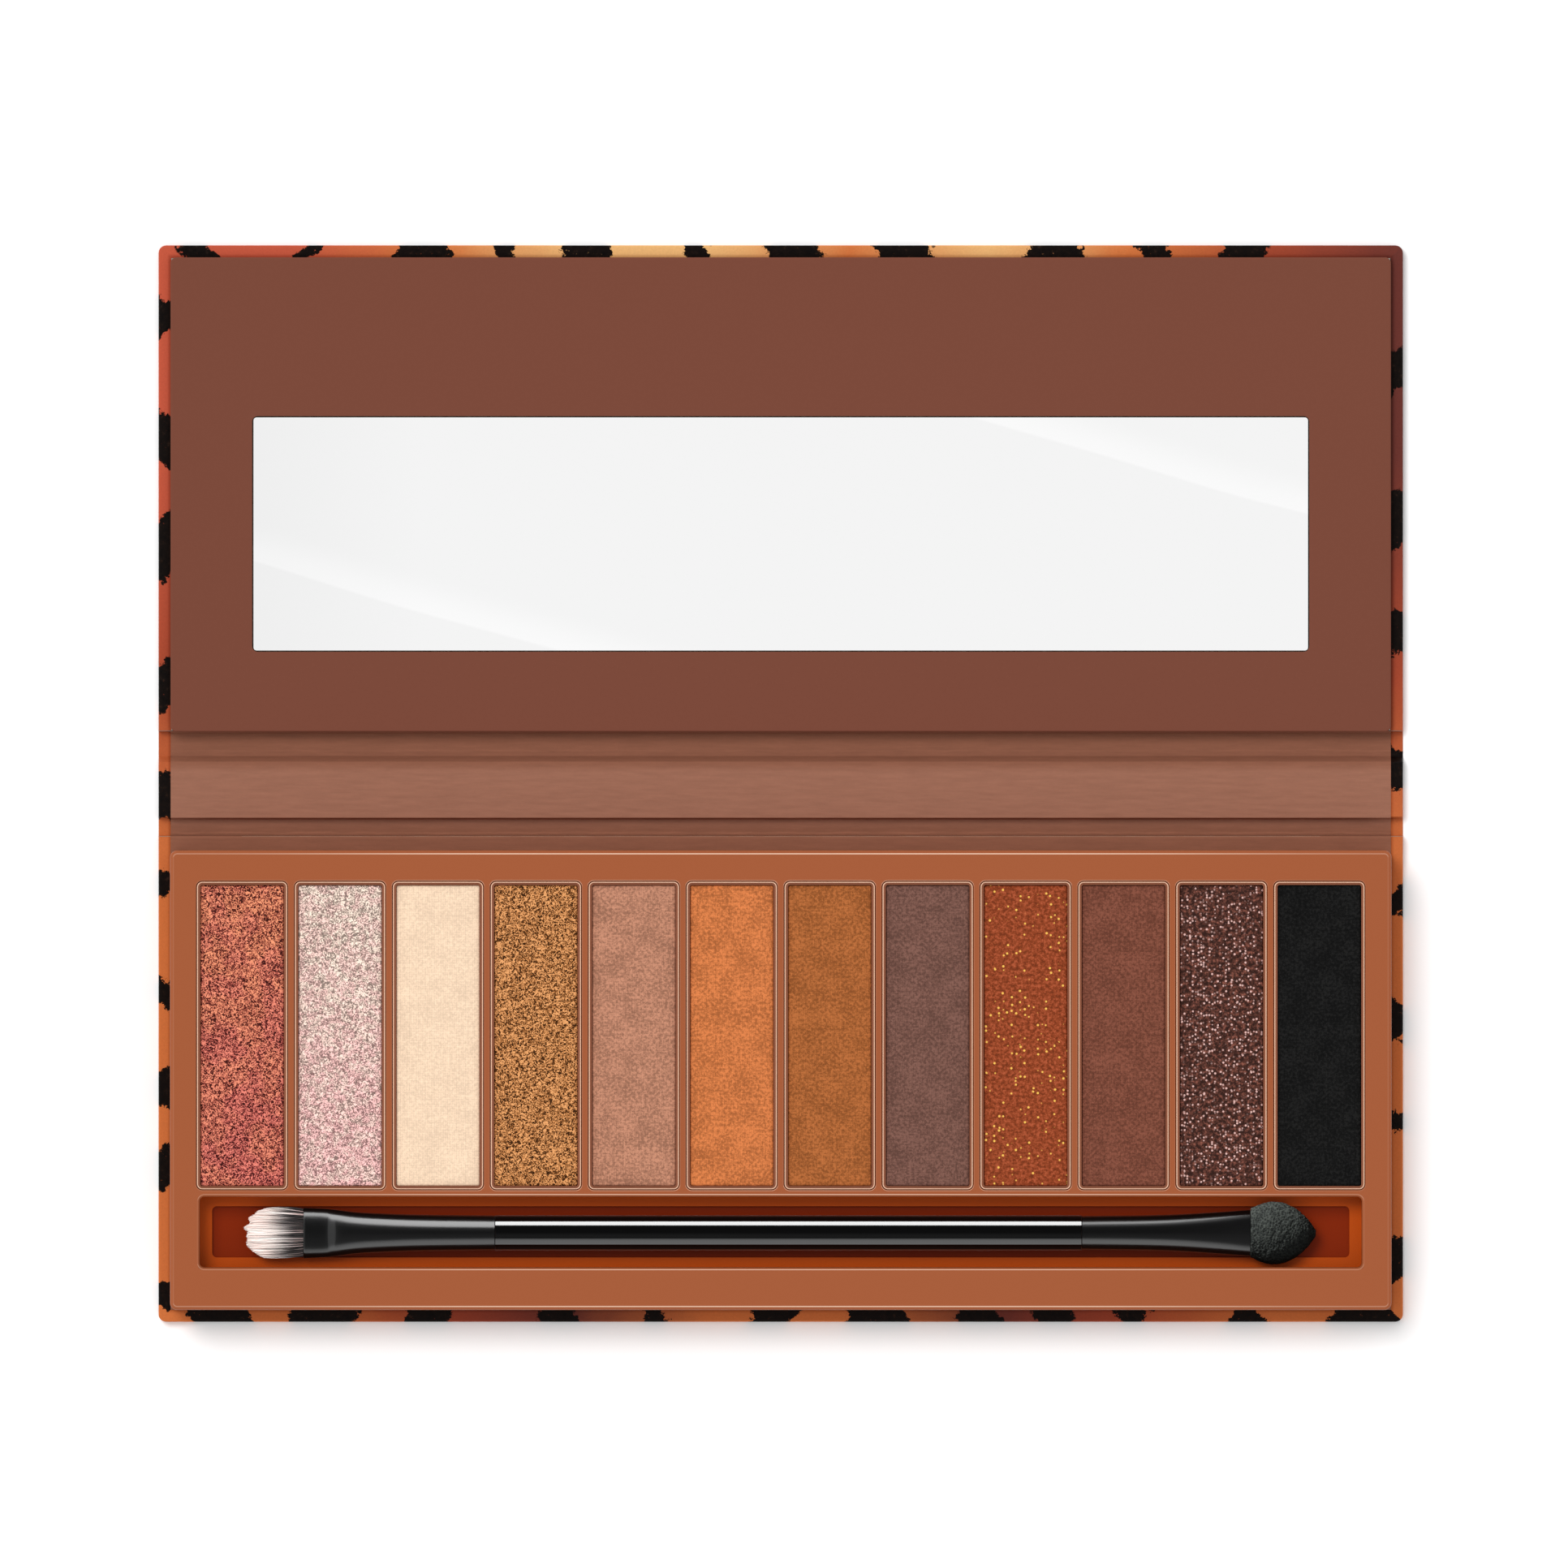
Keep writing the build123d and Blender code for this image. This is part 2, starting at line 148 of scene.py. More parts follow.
def grid(xs, ys, height, upward=True):
    """Points and faces of a sheet over every xs and ys."""
    points = [(x, y, height(x, y)) for y in ys for x in xs]
    across = len(xs)
    faces = []
    for j in range(len(ys) - 1):
        for i in range(across - 1):
            a = j * across + i
            face = (a, a + 1, a + across + 1, a + across)
            faces.append(face if upward else face[::-1])
    return points, faces


def join(*parts):
    """One list of points and one of faces from several (points, faces) pairs."""
    points, faces = [], []
    for more_points, more_faces in parts:
        shift = len(points)
        points += list(more_points)
        faces += [tuple(i + shift for i in face) for face in more_faces]
    return points, faces


def skin(rings):
    """Points and faces of a surface that runs through rings of equal length."""
    count = len(rings[0])
    points = [p for one in rings for p in one]
    faces = []
    for level in range(len(rings) - 1):
        here, there = level * count, (level + 1) * count
        for i in range(count):
            after = (i + 1) % count
            faces.append((here + i, here + after, there + after, there + i))
    return points, faces


def thicken(piece, thickness):
    """Give a sheet its thickness on its inner side, and keep the result as the piece's own mesh."""
    change = piece.modifiers.new("thickness", "SOLIDIFY")
    change.thickness = thickness * MM
    change.offset = -1
    change.use_even_offset = True
    shown = piece.evaluated_get(bpy.context.evaluated_depsgraph_get())
    mesh = bpy.data.meshes.new_from_object(shown)
    piece.modifiers.clear()
    piece.data = mesh
    mesh.set_sharp_from_angle(angle=math.radians(40))
    return piece


def places_mm(mesh):
    """Where every point of a mesh lies, in millimetres, as one long row."""
    place = np.zeros(len(mesh.vertices) * 3, np.float32)
    mesh.vertices.foreach_get("co", place)
    return place / MM


def keep_rest(piece):
    """Store where every point lies at rest, for the materials that are placed by it."""
    attribute = piece.data.attributes.new("rest", "FLOAT_VECTOR", "POINT")
    attribute.data.foreach_set("vector", places_mm(piece.data))


def store(piece, name, function):
    """Store a number for every point of a mesh, worked out from its place in millimetres."""
    values = function(places_mm(piece.data).reshape(-1, 3))
    attribute = piece.data.attributes.new(name, "FLOAT", "POINT")
    attribute.data.foreach_set("value", np.asarray(values, np.float32))


def ripple(x, y, seed, length, count=12):
    """Smooth noise between about -1 and 1 whose waves are around length long."""
    chance = np.random.default_rng(seed)
    total = 0.0
    for _ in range(count):
        turn, shift = chance.uniform(0, 2 * math.pi, 2)
        rate = 2 * math.pi / (length * chance.uniform(0.7, 1.6))
        total = total + np.sin(rate * (x * math.cos(turn) + y * math.sin(turn)) + shift)
    return total / math.sqrt(count)


def lines(start, end, spacing):
    """Evenly spaced numbers from start to end, both included."""
    return np.linspace(start, end, max(2, int(round((end - start) / spacing)) + 1))


# ======================= node materials =======================
LIGHT = 1.27                # light on a level surface, as a share of white
SHEEN = 0.004               # what a surface's own reflection adds to every channel


def linear(colour):
    """Linear red, green and blue of a display colour given as 0 to 255."""
    parts = [c / 255 for c in colour]
    return [c / 12.92 if c <= 0.04045 else ((c + 0.055) / 1.055) ** 2.4 for c in parts]


def paint(colour):
    """Surface colour that shows as the given display colour under this scene's light."""
    return [min(0.95, max(0.0005, (c - SHEEN) / LIGHT)) for c in linear(colour)] + [1.0]


class Nodes:
    """Short names for the nodes of one node tree."""

    def __init__(self, tree):
        self.tree = tree

    def node(self, kind, **settings):
        made = self.tree.nodes.new(kind)
        for name, value in settings.items():
            setattr(made, name, value)
        return made

    def feed(self, socket, value):
        if isinstance(value, bpy.types.NodeSocket):
            self.tree.links.new(value, socket)
        else:
            socket.default_value = value

    def vector(self, operation, a, b=None, scale=None):
        made = self.node("ShaderNodeVectorMath", operation=operation)
        self.feed(made.inputs[0], a)
        if b is not None:
            self.feed(made.inputs[1], b)
        if scale is not None:
            made.inputs["Scale"].default_value = scale
        return made.outputs[0]

    def math(self, operation, a, b=0.0):
        made = self.node("ShaderNodeMath", operation=operation)
        self.feed(made.inputs[0], a)
        self.feed(made.inputs[1], b)
        return made.outputs[0]

    def plus(self, a, b):
        return self.math("ADD", a, b)

    def minus(self, a, b):
        return self.math("SUBTRACT", a, b)

    def times(self, a, b):
        return self.math("MULTIPLY", a, b)

    def step(self, value, start, end, low=0.0, high=1.0):
        """low before start, high after end, smooth between them."""
        made = self.node("ShaderNodeMapRange", interpolation_type="SMOOTHSTEP")
        for socket, number in zip(made.inputs[:5], (value, start, end, low, high)):
            self.feed(socket, number)
        return made.outputs[0]

    def mix(self, share, a, b, kind="MIX"):
        made = self.node("ShaderNodeMix", data_type="RGBA", blend_type=kind)
        self.feed(made.inputs["Factor"], share)
        self.feed(made.inputs[6], a)
        self.feed(made.inputs[7], b)
        return made.outputs[2]

    def ramp(self, value, stops, kind="LINEAR"):
        """Colour by value. stops holds (value, colour) pairs."""
        made = self.node("ShaderNodeValToRGB")
        made.color_ramp.interpolation = kind
        elements = made.color_ramp.elements
        while len(elements) < len(stops):
            elements.new(0.5)
        first, last = stops[0][0], stops[-1][0]
        for element, (at, colour) in zip(elements, stops):
            element.position = (at - first) / (last - first)
        for element, (at, colour) in zip(elements, stops):
            element.color = colour
        share = self.node("ShaderNodeMapRange")
        for socket, number in zip(share.inputs[:5], (value, first, last, 0.0, 1.0)):
            self.feed(socket, number)
        self.feed(made.inputs[0], share.outputs[0])
        return made.outputs[0]

    def noise(self, size, detail=2.0, roughness=0.5, distortion=0.0, place=None, stretch=(1, 1, 1)):
        """Noise from 0 to 1 whose grains are about size millimetres."""
        made = self.node("ShaderNodeTexNoise")
        where = self.vector("MULTIPLY", place or self.place, stretch)
        self.feed(made.inputs["Vector"], where)
        for name, value in (("Scale", 1 / size), ("Detail", detail), ("Roughness", roughness),
                            ("Distortion", distortion)):
            made.inputs[name].default_value = value
        return made.outputs[0]

    def cells(self, size, feature="F1", place=None, output="Distance"):
        made = self.node("ShaderNodeTexVoronoi", feature=feature)
        self.feed(made.inputs["Vector"], place or self.place)
        made.inputs["Scale"].default_value = 1 / size
        return made.outputs[output]

    def axes(self, place=None):
        made = self.node("ShaderNodeSeparateXYZ")
        self.feed(made.inputs[0], place or self.place)
        return made.outputs

    def value(self, name):
        return self.node("ShaderNodeAttribute", attribute_name=name).outputs["Fac"]

    def shade(self, colour, change):
        """A colour multiplied by another one."""
        return self.mix(1.0, colour, change, "MULTIPLY")

    def tint(self, colour, light, dark, share):
        """Colour varied between a darker and a lighter one by a 0 to 1 share."""
        return self.mix(share, self.shade(colour, dark), self.shade(colour, light))


class Look(Nodes):
    """One node material. Its textures are placed in millimetres."""

    def __init__(self, name, bends=False):
        self.material = bpy.data.materials.new(name)
        self.material.use_nodes = True
        super().__init__(self.material.node_tree)
        self.shader = self.tree.nodes["Principled BSDF"]
        if bends:
            self.place = self.node("ShaderNodeAttribute", attribute_name="rest").outputs["Vector"]
        else:
            coordinates = self.node("ShaderNodeTexCoord").outputs["Object"]
            self.place = self.vector("SCALE", coordinates, scale=1 / MM)

    def set(self, **values):
        """Set inputs of the surface shader: set(Roughness=0.5, Base_Color=...)."""
        for name, value in values.items():
            self.feed(self.shader.inputs[name.replace("_", " ")], value)
        return self

    def bump(self, height, depth, strength=1.0):
        """Fine relief, depth in millimetres."""
        made = self.node("ShaderNodeBump")
        made.inputs["Strength"].default_value = strength
        made.inputs["Distance"].default_value = depth * MM
        self.feed(made.inputs["Height"], height)
        self.feed(self.shader.inputs["Normal"], made.outputs[0])
        return self


def grey(value):
    return (value, value, value, 1.0)


def dress(piece, look):
    """Give a piece its material."""
    piece.data.materials.clear()
    piece.data.materials.append(look.material)


# ======================= printed wrap paper =======================
PEACH, ORANGE, CORAL = (240, 185, 120), (215, 120, 65), (200, 90, 65)
RUST, WINE = (170, 75, 50), (110, 55, 48)
# Inks washed along each border, evenly spaced from its left or front end.
REAR_WASH = [CORAL, CORAL, ORANGE, PEACH, PEACH, ORANGE, PEACH, ORANGE, RUST, WINE]
FRONT_WASH = [ORANGE, ORANGE, RUST, WINE, ORANGE, ORANGE, WINE, RUST, ORANGE, ORANGE]
LEFT_WASH = [ORANGE, ORANGE, ORANGE, RUST, CORAL, CORAL]
RIGHT_WASH = [ORANGE, ORANGE, ORANGE, RUST, WINE, WINE]
MARK_LENGTHS, MARK_GAPS, MOST_MARKS = (2.5, 10.0), (4.0, 15.0), 14


def brush_marks(seed, reach):
    """Stretches of a border that a dark brush mark covers, drawn at random."""
    chance = np.random.default_rng(seed)
    stretches, start = [], -reach + chance.uniform(1, 6)
    while start < reach - MARK_LENGTHS[1] and len(stretches) < MOST_MARKS:
        end = start + chance.uniform(*MARK_LENGTHS)
        stretches.append((start, end))
        start = end + chance.uniform(*MARK_GAPS)
    return stretches


def printed_paper():
    """Watercolour ground with dark brush marks, laid out by place along each border of the case."""
    look = Look("printed_paper", bends=True)
    x, y, z = look.axes()
    to_left, to_right = look.plus(x, half_width), look.minus(half_width, x)
    to_front, to_rear = look.minus(y, case_front), look.minus(case_rear, y)
    to_side, to_end = look.math("MINIMUM", to_left, to_right), look.math("MINIMUM", to_front, to_rear)
    at_side = look.math("LESS_THAN", to_side, to_end)
    right, rear = look.math("GREATER_THAN", x, 0.0), look.math("GREATER_THAN", y, 0.0)

    wash = look.times(look.minus(look.noise(5.0, 3.0), 0.5), 7.0)
    inset = look.math("MINIMUM", to_side, to_end)
    ragged = look.minus(look.noise(1.1, 6.0, 0.75, stretch=(1, 1, 0.6)), 0.5)
    elsewhere = look.vector("ADD", look.place, (31.0, 17.0, 0.0))
    lean = look.minus(look.noise(4.5, 1.0, place=elsewhere), 0.5)
    lean = look.times(look.times(lean, 7.0), look.minus(inset, 0.8))
    ragged = look.plus(look.times(ragged, 4.2), lean)

    def ground(axis, inks, reach):
        places = np.linspace(-reach, reach, len(inks))
        return look.ramp(look.plus(axis, wash), [(float(at), paint(ink)) for at, ink in zip(places, inks)])

    def marks(axis, seed, reach):
        stops = [(-reach, grey(0.0))]
        for start, end in brush_marks(seed, reach):
            stops += [(start, grey(1.0)), (end, grey(0.0))]
        return look.ramp(look.plus(axis, ragged), stops + [(reach, grey(0.0))], "CONSTANT")

    across, deep = float(half_width), float(case_rear)
    ends = look.mix(rear, ground(x, FRONT_WASH, across), ground(x, REAR_WASH, across))
    sides = look.mix(right, ground(y, LEFT_WASH, deep), ground(y, RIGHT_WASH, deep))
    border = look.mix(at_side, ends, sides)
    end_marks = look.mix(rear, marks(x, 1, across), marks(x, 2, across))
    side_marks = look.mix(right, marks(y, 3, deep), marks(y, 4, deep))
    border_marks = look.mix(at_side, end_marks, side_marks)

    # The cover under the case: the same inks, laid out by noise.
    flat = look.vector("MULTIPLY", look.place, (1, 1, 0))
    field = look.noise(42.0, 2.0, 0.4, place=flat)
    cover = look.ramp(field, [(0.25, paint(WINE)), (0.4, paint(RUST)), (0.5, paint(ORANGE)),
                              (0.62, paint(PEACH)), (0.75, paint(ORANGE))])
    bent = look.node("ShaderNodeTexNoise")
    look.feed(bent.inputs["Vector"], flat)
    bent.inputs["Scale"].default_value = 1 / 6
    bent.inputs["Detail"].default_value = 4
    shifted = look.vector("ADD", flat, look.vector("SCALE", bent.outputs["Color"], scale=7.0))
    blob = look.cells(13.0, "SMOOTH_F1", place=shifted)
    blob = look.plus(blob, look.times(ragged, 0.05))
    cover_marks = look.step(blob, 0.34, 0.30)
    inside = look.step(inset, 2.0, 7.0)
    colour = look.mix(inside, border, cover)
    depth = look.plus(inset, look.times(ragged, 0.6))
    dark = look.math("MAXIMUM", look.times(border_marks, look.math("LESS_THAN", depth, 4.6)),
                     look.times(cover_marks, look.math("GREATER_THAN", depth, 3.0)))
    ink_variation = look.noise(0.9, 4.0, 0.7)
    ink = look.ramp(ink_variation, [(0.3, (0.002, 0.001, 0.001, 1)), (0.6, (0.006, 0.003, 0.002, 1)),
                                    (0.75, (0.03, 0.014, 0.008, 1))])
    dark = look.times(dark, look.step(look.noise(0.5, 3.0, 0.7), 0.25, 0.33, 0.6, 1.0))
    colour = look.mix(dark, colour, ink)
    # Painted shade: the border is darkened in a narrow band beside the lining, where the raised lining shades
    # it.
    painted_shade_by_lining = look.times(look.step(inset, 1.2, 1.7), look.step(inset, 2.1, 1.9))
    painted_shadow_colour = look.shade(colour, (0.4, 0.22, 0.15, 1))
    colour = look.mix(look.times(painted_shade_by_lining, 0.45), colour, painted_shadow_colour)
    linen = look.noise(0.28, 1.0)
    colour = look.tint(colour, grey(1.09), grey(0.9), linen)
    look.set(Base_Color=colour, Roughness=0.5, Specular_IOR_Level=0.1)
    return look.bump(linen, 0.02, 0.5)


# Lining over the hinge: the spine strip is painted lighter than the plain lining, and the gutters beside it
# are painted darker, as shade.
SPINE_BROWN, GUTTER_BROWN_PAINTED_SHADE = (160, 110, 90), (145, 95, 75)


def brown_paper(bends):
    """Plain brown lining. Over the hinge, the strip changes tone from line to line: painted lighter on the
    spine, darker towards the gutters as painted shade, and lighter along each crease as a painted highlight.
    """
    look = Look("brown_paper_hinge" if bends else "brown_paper", bends=bends)
    plain = paint((125, 75, 60))
    grain = look.noise(0.5, 3.0, 0.6)
    colour = plain
    if bends:
        x, y, z = look.axes()
        # Painted shade: darker towards the gutter on each side of the spine board.
        front_edge, rear_edge = spine_board_low[1] - 0.3, spine_board_high[1]
        to_front = look.step(y, front_edge, front_edge - 2.0)
        to_rear = look.step(y, rear_edge - 1.5, rear_edge + 0.2)
        colour = look.mix(look.math("MAXIMUM", to_front, to_rear), paint(SPINE_BROWN), paint(GUTTER_BROWN_PAINTED_SHADE))
        streak = look.noise(0.55, 3.0, 0.65, stretch=(0.12, 1, 1))
        colour = look.tint(colour, grey(1.16), grey(0.84), streak)
        # Painted highlight: the lining is painted lighter along each crease line.
        colour = look.mix(look.value("crease"), colour, look.shade(colour, grey(1.3)))
        look.bump(streak, 0.04, 0.5)
    else:
        look.bump(grain, 0.01, 0.4)
    colour = look.tint(colour, grey(1.04), grey(0.96), grain)
    return look.set(Base_Color=colour, Roughness=0.72, Specular_IOR_Level=0.08)


# ======================= the case: wrap and lining =======================
WRAP_EDGE, CASE_CORNER, TURN_IN = 0.25, 1.1, 12.0
GUTTER = 2 * PAPER          # height of the wrap where no board lies in it


def polyline(points):
    """A function through (place, height) points, straight between them."""
    at, heights = zip(*points)
    return lambda y: np.interp(y, at, heights)


wrap_height = polyline([(board_rear_of_base - 0.05, wrap_top), (board_rear_of_base + 0.1, GUTTER),
                        (spine_board_low[1] - 0.37, GUTTER), (spine_board_low[1] - 0.12, wrap_top),
                        (spine_board_high[1] + 0.12, wrap_top), (spine_board_high[1] + 0.9, GUTTER),
                        (board_front_of_lid - 0.1, GUTTER), (board_front_of_lid + 0.05, wrap_top)])


def wrap_lines():
    """Where the wrap has points along the sides: close together where it bends."""
    near = np.concatenate([lines(-8.4, -7.7, 0.35), lines(-fold - 0.48, -fold + 0.48, 0.08),
                           lines(-6.4, -5.3, 0.35), lines(-5.15, -4.7, 0.075), lines(-4.2, 2.6, 0.8),
                           lines(2.9, 4.0, 0.11), lines(4.5, 6.4, 0.5), lines(fold - 0.48, fold + 0.48, 0.08),
                           lines(7.7, 8.4, 0.35), [0.0]])
    far = np.concatenate([lines(case_front + 1.3, -9.5, 4.0), lines(9.5, case_rear - 1.3, 4.0)])
    return np.unique(np.round(np.concatenate([near, far]), 4))


def make_wrap():
    """The printed paper as one sheet around the whole open case, cut into two pieces on the spine."""
    xs, ys = lines(-half_width + 1.4, half_width - 1.4, 4.0), wrap_lines()
    box = (-half_width, half_width, case_front, case_rear)
    inset = CASE_CORNER + 0.1

    def arc_radius(y):
        return np.minimum(WRAP_EDGE, 0.45 * wrap_height(y))

    rings = [ring(box, CASE_CORNER, inset, 0.0, xs, ys)]
    for turn in np.linspace(0, math.pi / 2, 5):
        rings.append(arc_ring(box, xs, ys, arc_radius, turn, False))
    for turn in np.linspace(math.pi / 2, 0, 5):
        rings.append(arc_ring(box, xs, ys, arc_radius, turn, True))
    for turned_in in (2.0, TURN_IN):
        rings.append(ring(box, CASE_CORNER, turned_in, lambda x, y: wrap_height(y), xs, ys))
    across = np.concatenate([[-half_width + inset], xs, [half_width - inset]])
    deep = np.concatenate([[case_front + inset], ys, [case_rear - inset]])
    outside = grid(across, deep, lambda x, y: 0.0, upward=False)
    whole = make_piece("wrap_whole", *join(skin(rings), outside))
    pieces = []
    for name, keep_front in (("printed_wrap_base_side", True), ("printed_wrap_lid_side", False)):
        work = bmesh.new()
        work.from_mesh(whole.data)
        everything = [*work.verts, *work.edges, *work.faces]
        bmesh.ops.bisect_plane(work, geom=everything, dist=1e-7, plane_co=(0, 0, 0), plane_no=(0, 1, 0),
                               clear_outer=keep_front, clear_inner=not keep_front)
        mesh = bpy.data.meshes.new(name)
        work.to_mesh(mesh)
        work.free()
        pieces.append(thicken(new_object(name, mesh), PAPER))
    bpy.data.objects.remove(whole)
    return pieces


def arc_ring(box, xs, ys, arc_radius, turn, upper):
    """One ring of the rounded lower or upper edge.

    turn runs from 0, at the level face, to a quarter turn, at the side face.
    """
    points = []
    outline = ring(box, CASE_CORNER, 0.0, 0.0, xs, ys)
    centre = ring(box, CASE_CORNER, WRAP_EDGE, 0.0, xs, ys)
    for (x, y, _), (cx, cy, _) in zip(outline, centre):
        radius = float(arc_radius(y))
        share = radius / WRAP_EDGE
        inward = (1 - math.sin(turn)) * share
        height = radius * (1 - math.cos(turn))
        top = float(wrap_height(y))
        points.append((x + (cx - x) * inward, y + (cy - y) * inward, top - height if upper else height))
    return points


wrap_base, wrap_lid = make_wrap()
paper_print = printed_paper()
for piece, bodies, middle, replaced in ((wrap_base, ("base", "spine"), -fold, ("base_wrap", "spine_wrap")),
                                        (wrap_lid, ("spine", "lid"), fold, ("lid_wrap",))):
    keep_rest(piece)
    dress(piece, paper_print)
    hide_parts(*replaced)
    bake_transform(piece)

LINER_SLOPE_BASE, LINER_SLOPE_LID = 0.25, 0.8
liner_top = liner_high[2]
hinge_height = polyline([(board_rear_of_base - 0.02, liner_top), (board_rear_of_base + 0.2, GUTTER + PAPER),
                         (spine_board_low[1] - 0.24 - LINER_SLOPE_BASE, GUTTER + PAPER),
                         (spine_board_low[1] - 0.24, liner_top), (spine_board_high[1] + 0.24, liner_top),
                         (spine_board_high[1] + 0.24 + LINER_SLOPE_LID, GUTTER + PAPER),
                         (board_front_of_lid - 0.35, GUTTER + PAPER),
                         (board_front_of_lid - 0.12, liner_top - 0.02)])
# Each crease is a low ridge that is also painted lighter along its line, as a painted highlight.
CREASES_WITH_PAINTED_HIGHLIGHT = [(-7.15, 0.9), (-5.17, 0.8), (4.75, 0.35)]      # place of each light crease and how strong it is


def crease_ridge_and_highlight(place):
    """How much of a crease line lies at each point: 1 on the line, 0 away from it. It raises a low ridge and
    marks where the lining is painted lighter as a highlight.
    """
    x, y = place[:, 0], place[:, 1]
    total = np.zeros(len(place))
    for index, (at, strength) in enumerate(CREASES_WITH_PAINTED_HIGHLIGHT):
        line = at + 0.05 * ripple(x, 0 * x, 40 + index, 4.0) + 0.03 * ripple(x, 0 * x, 50 + index, 1.2)
        fade = 0.75 + 0.35 * ripple(x, 0 * x, 60 + index, 9.0)
        total += strength * np.clip(fade, 0.2, 1) * np.exp(-((y - line) / 0.11) ** 2)
    return np.clip(total, 0, 1)


def hinge_sheet(name, y_lines):
    """A strip of lining with its creases and wrinkles, closed all round."""
    xs = lines(-lid_liner_high[0], lid_liner_high[0], 0.5)
    across, down = np.meshgrid(xs, y_lines)
    place = np.stack([across.ravel(), down.ravel()], 1)
    near = np.exp(-np.clip(np.abs(place[:, 1]) - 6.6, 0, None) ** 2 / 0.5)
    wrinkle = 0.018 * near * ripple(place[:, 0] * 0.22, place[:, 1], 7, 0.9)
    top = hinge_height(place[:, 1]) + 0.05 * crease_ridge_and_highlight(place) + wrinkle - 0.03 * near
    upper = np.column_stack([place, top])
    lower = np.column_stack([place, top - 0.1])
    columns, rows = len(xs), len(y_lines)
    _, faces = grid(xs, y_lines, lambda x, y: 0.0)
    count = columns * rows
    faces += [tuple(i + count for i in face[::-1]) for face in faces]
    rim = [*range(columns), *range(2 * columns - 1, count, columns),
           *range(count - 2, count - columns - 1, -1), *range(count - 2 * columns, 0, -columns)]
    for here, there in zip(rim, rim[1:] + rim[:1]):
        faces.append((there, here, here + count, there + count))
    return make_piece(name, np.vstack([upper, lower]), faces)


around_creases = [lines(at - 0.32, at + 0.32, 0.08) for at, _ in CREASES_WITH_PAINTED_HIGHLIGHT]
hinge_lines = np.unique(np.round(np.concatenate([lines(-9.4, board_front_of_lid - 0.02, 0.2), [0.0],
                                                 lines(fold - 0.5, fold + 0.4, 0.09), *around_creases]), 3))
base_lines = np.concatenate([lines(liner_low[1], -10.0, 6.0), hinge_lines[hinge_lines <= 0]])
paper_hinge, paper_lid = brown_paper(True), brown_paper(False)
for name, y_lines, bodies, middle, replaced in (
        ("lining_base_side", base_lines, ("base", "spine"), -fold, ("base_liner", "spine_liner")),
        ("lining_lid_side", hinge_lines[hinge_lines >= 0], ("spine", "lid"), fold, ())):
    piece = hinge_sheet(name, y_lines)
    store(piece, "crease", crease_ridge_and_highlight)
    keep_rest(piece)
    dress(piece, paper_hinge)
    if replaced:
        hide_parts(*replaced)
    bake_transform(piece)


def make_lid_lining():
    """The brown cover of the lid frame: rounded outer edge, open window around the mirror."""
    outer = (lid_liner_low[0], lid_liner_high[0], lid_liner_low[1] - 0.1, lid_liner_high[1])
    gap = 0.03
    window = (mirror_low[0] - gap, mirror_high[0] + gap, mirror_low[1] - gap, mirror_high[1] + gap)
    xs = lines(outer[0] + 1.2, outer[1] - 1.2, 3.0)
    ys = lines(outer[2] + 1.2, outer[3] - 1.2, 3.0)
    bottom, top, edge = lid_liner_low[2] + PAPER, lid_liner_high[2], 0.25
    rings = [ring(outer, 0.8, 0.0, bottom, xs, ys)]
    for turn in np.linspace(0, math.pi / 2, 6):
        rings.append(ring(outer, 0.8, edge * (1 - math.cos(turn)), top - edge * (1 - math.sin(turn)), xs, ys))
    rings += [ring(outer, 0.8, inset, top, xs, ys) for inset in (edge + 0.05, 1.2)]
    lip = 0.1
    rings.append(ring(window, 0.8, -lip - 0.05, top, xs, ys))
    for turn in np.linspace(0, math.pi / 2, 5):
        rings.append(ring(window, 0.8, -lip * (1 - math.sin(turn)), top - lip * (1 - math.cos(turn)), xs, ys))
    rings.append(ring(window, 0.8, 0.0, mirror_high[2] + 0.02, xs, ys))
    return thicken(make_piece("lid_lining", *skin(rings)), PAPER)


lid_lining = make_lid_lining()
dress(lid_lining, paper_lid)
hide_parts("lid_liner")
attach(lid_lining, "lid")


# ======================= pans =======================
PAN_CORNER, PAN_RIM = 0.8, 0.5
# Inset and height of the rolled rim, from the top of the pan: a narrow crest outside, a shoulder inside.
RIM_PROFILE = [(0.0, -0.14), (0.015, -0.07), (0.05, -0.02), (0.09, 0.0), (0.13, 0.0), (0.17, -0.02),
               (0.22, -0.06), (0.3, -0.085), (0.42, -0.09), (0.48, -0.1), (0.5, -0.14)]
PAN_SHEET = 0.35            # thickness of the pan's floor


def make_pan(number):
    name = f"pan_{number:02d}"
    low, high = box_mm(name)
    box = (low[0], high[0], low[1], high[1])
    xs, ys = lines(low[0] + 1.1, high[0] - 1.1, 1.0), lines(low[1] + 1.1, high[1] - 1.1, 1.0)
    profile = [(1.0, low[2]), (0.2, low[2]), (0.06, low[2] + 0.06), (0.0, low[2] + 0.2)]
    profile += [(inset, high[2] + drop) for inset, drop in RIM_PROFILE]
    floor = low[2] + PAN_SHEET
    profile += [(PAN_RIM, floor + 0.1), (PAN_RIM + 0.1, floor), (1.0, floor)]
    rings = [ring(box, PAN_CORNER, inset, height, xs, ys) for inset, height in profile]
    wide = np.concatenate([[low[0] + 1.0], xs, [high[0] - 1.0]])
    deep = np.concatenate([[low[1] + 1.0], ys, [high[1] - 1.0]])
    parts = [skin(rings), grid(wide, deep, lambda x, y: low[2], upward=False),
             grid(wide, deep, lambda x, y: floor)]
    piece = make_piece(f"rolled_{name}", *join(*parts), sharp_degrees=60)
    dress(piece, pan_metal)
    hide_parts(name)
    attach(piece, "base")


pan_metal = Look("pan_metal")
brushed = pan_metal.noise(0.3, 3.0)
pan_z = pan_metal.axes()[2]
pan_top = box_mm("pan_01")[1][2]
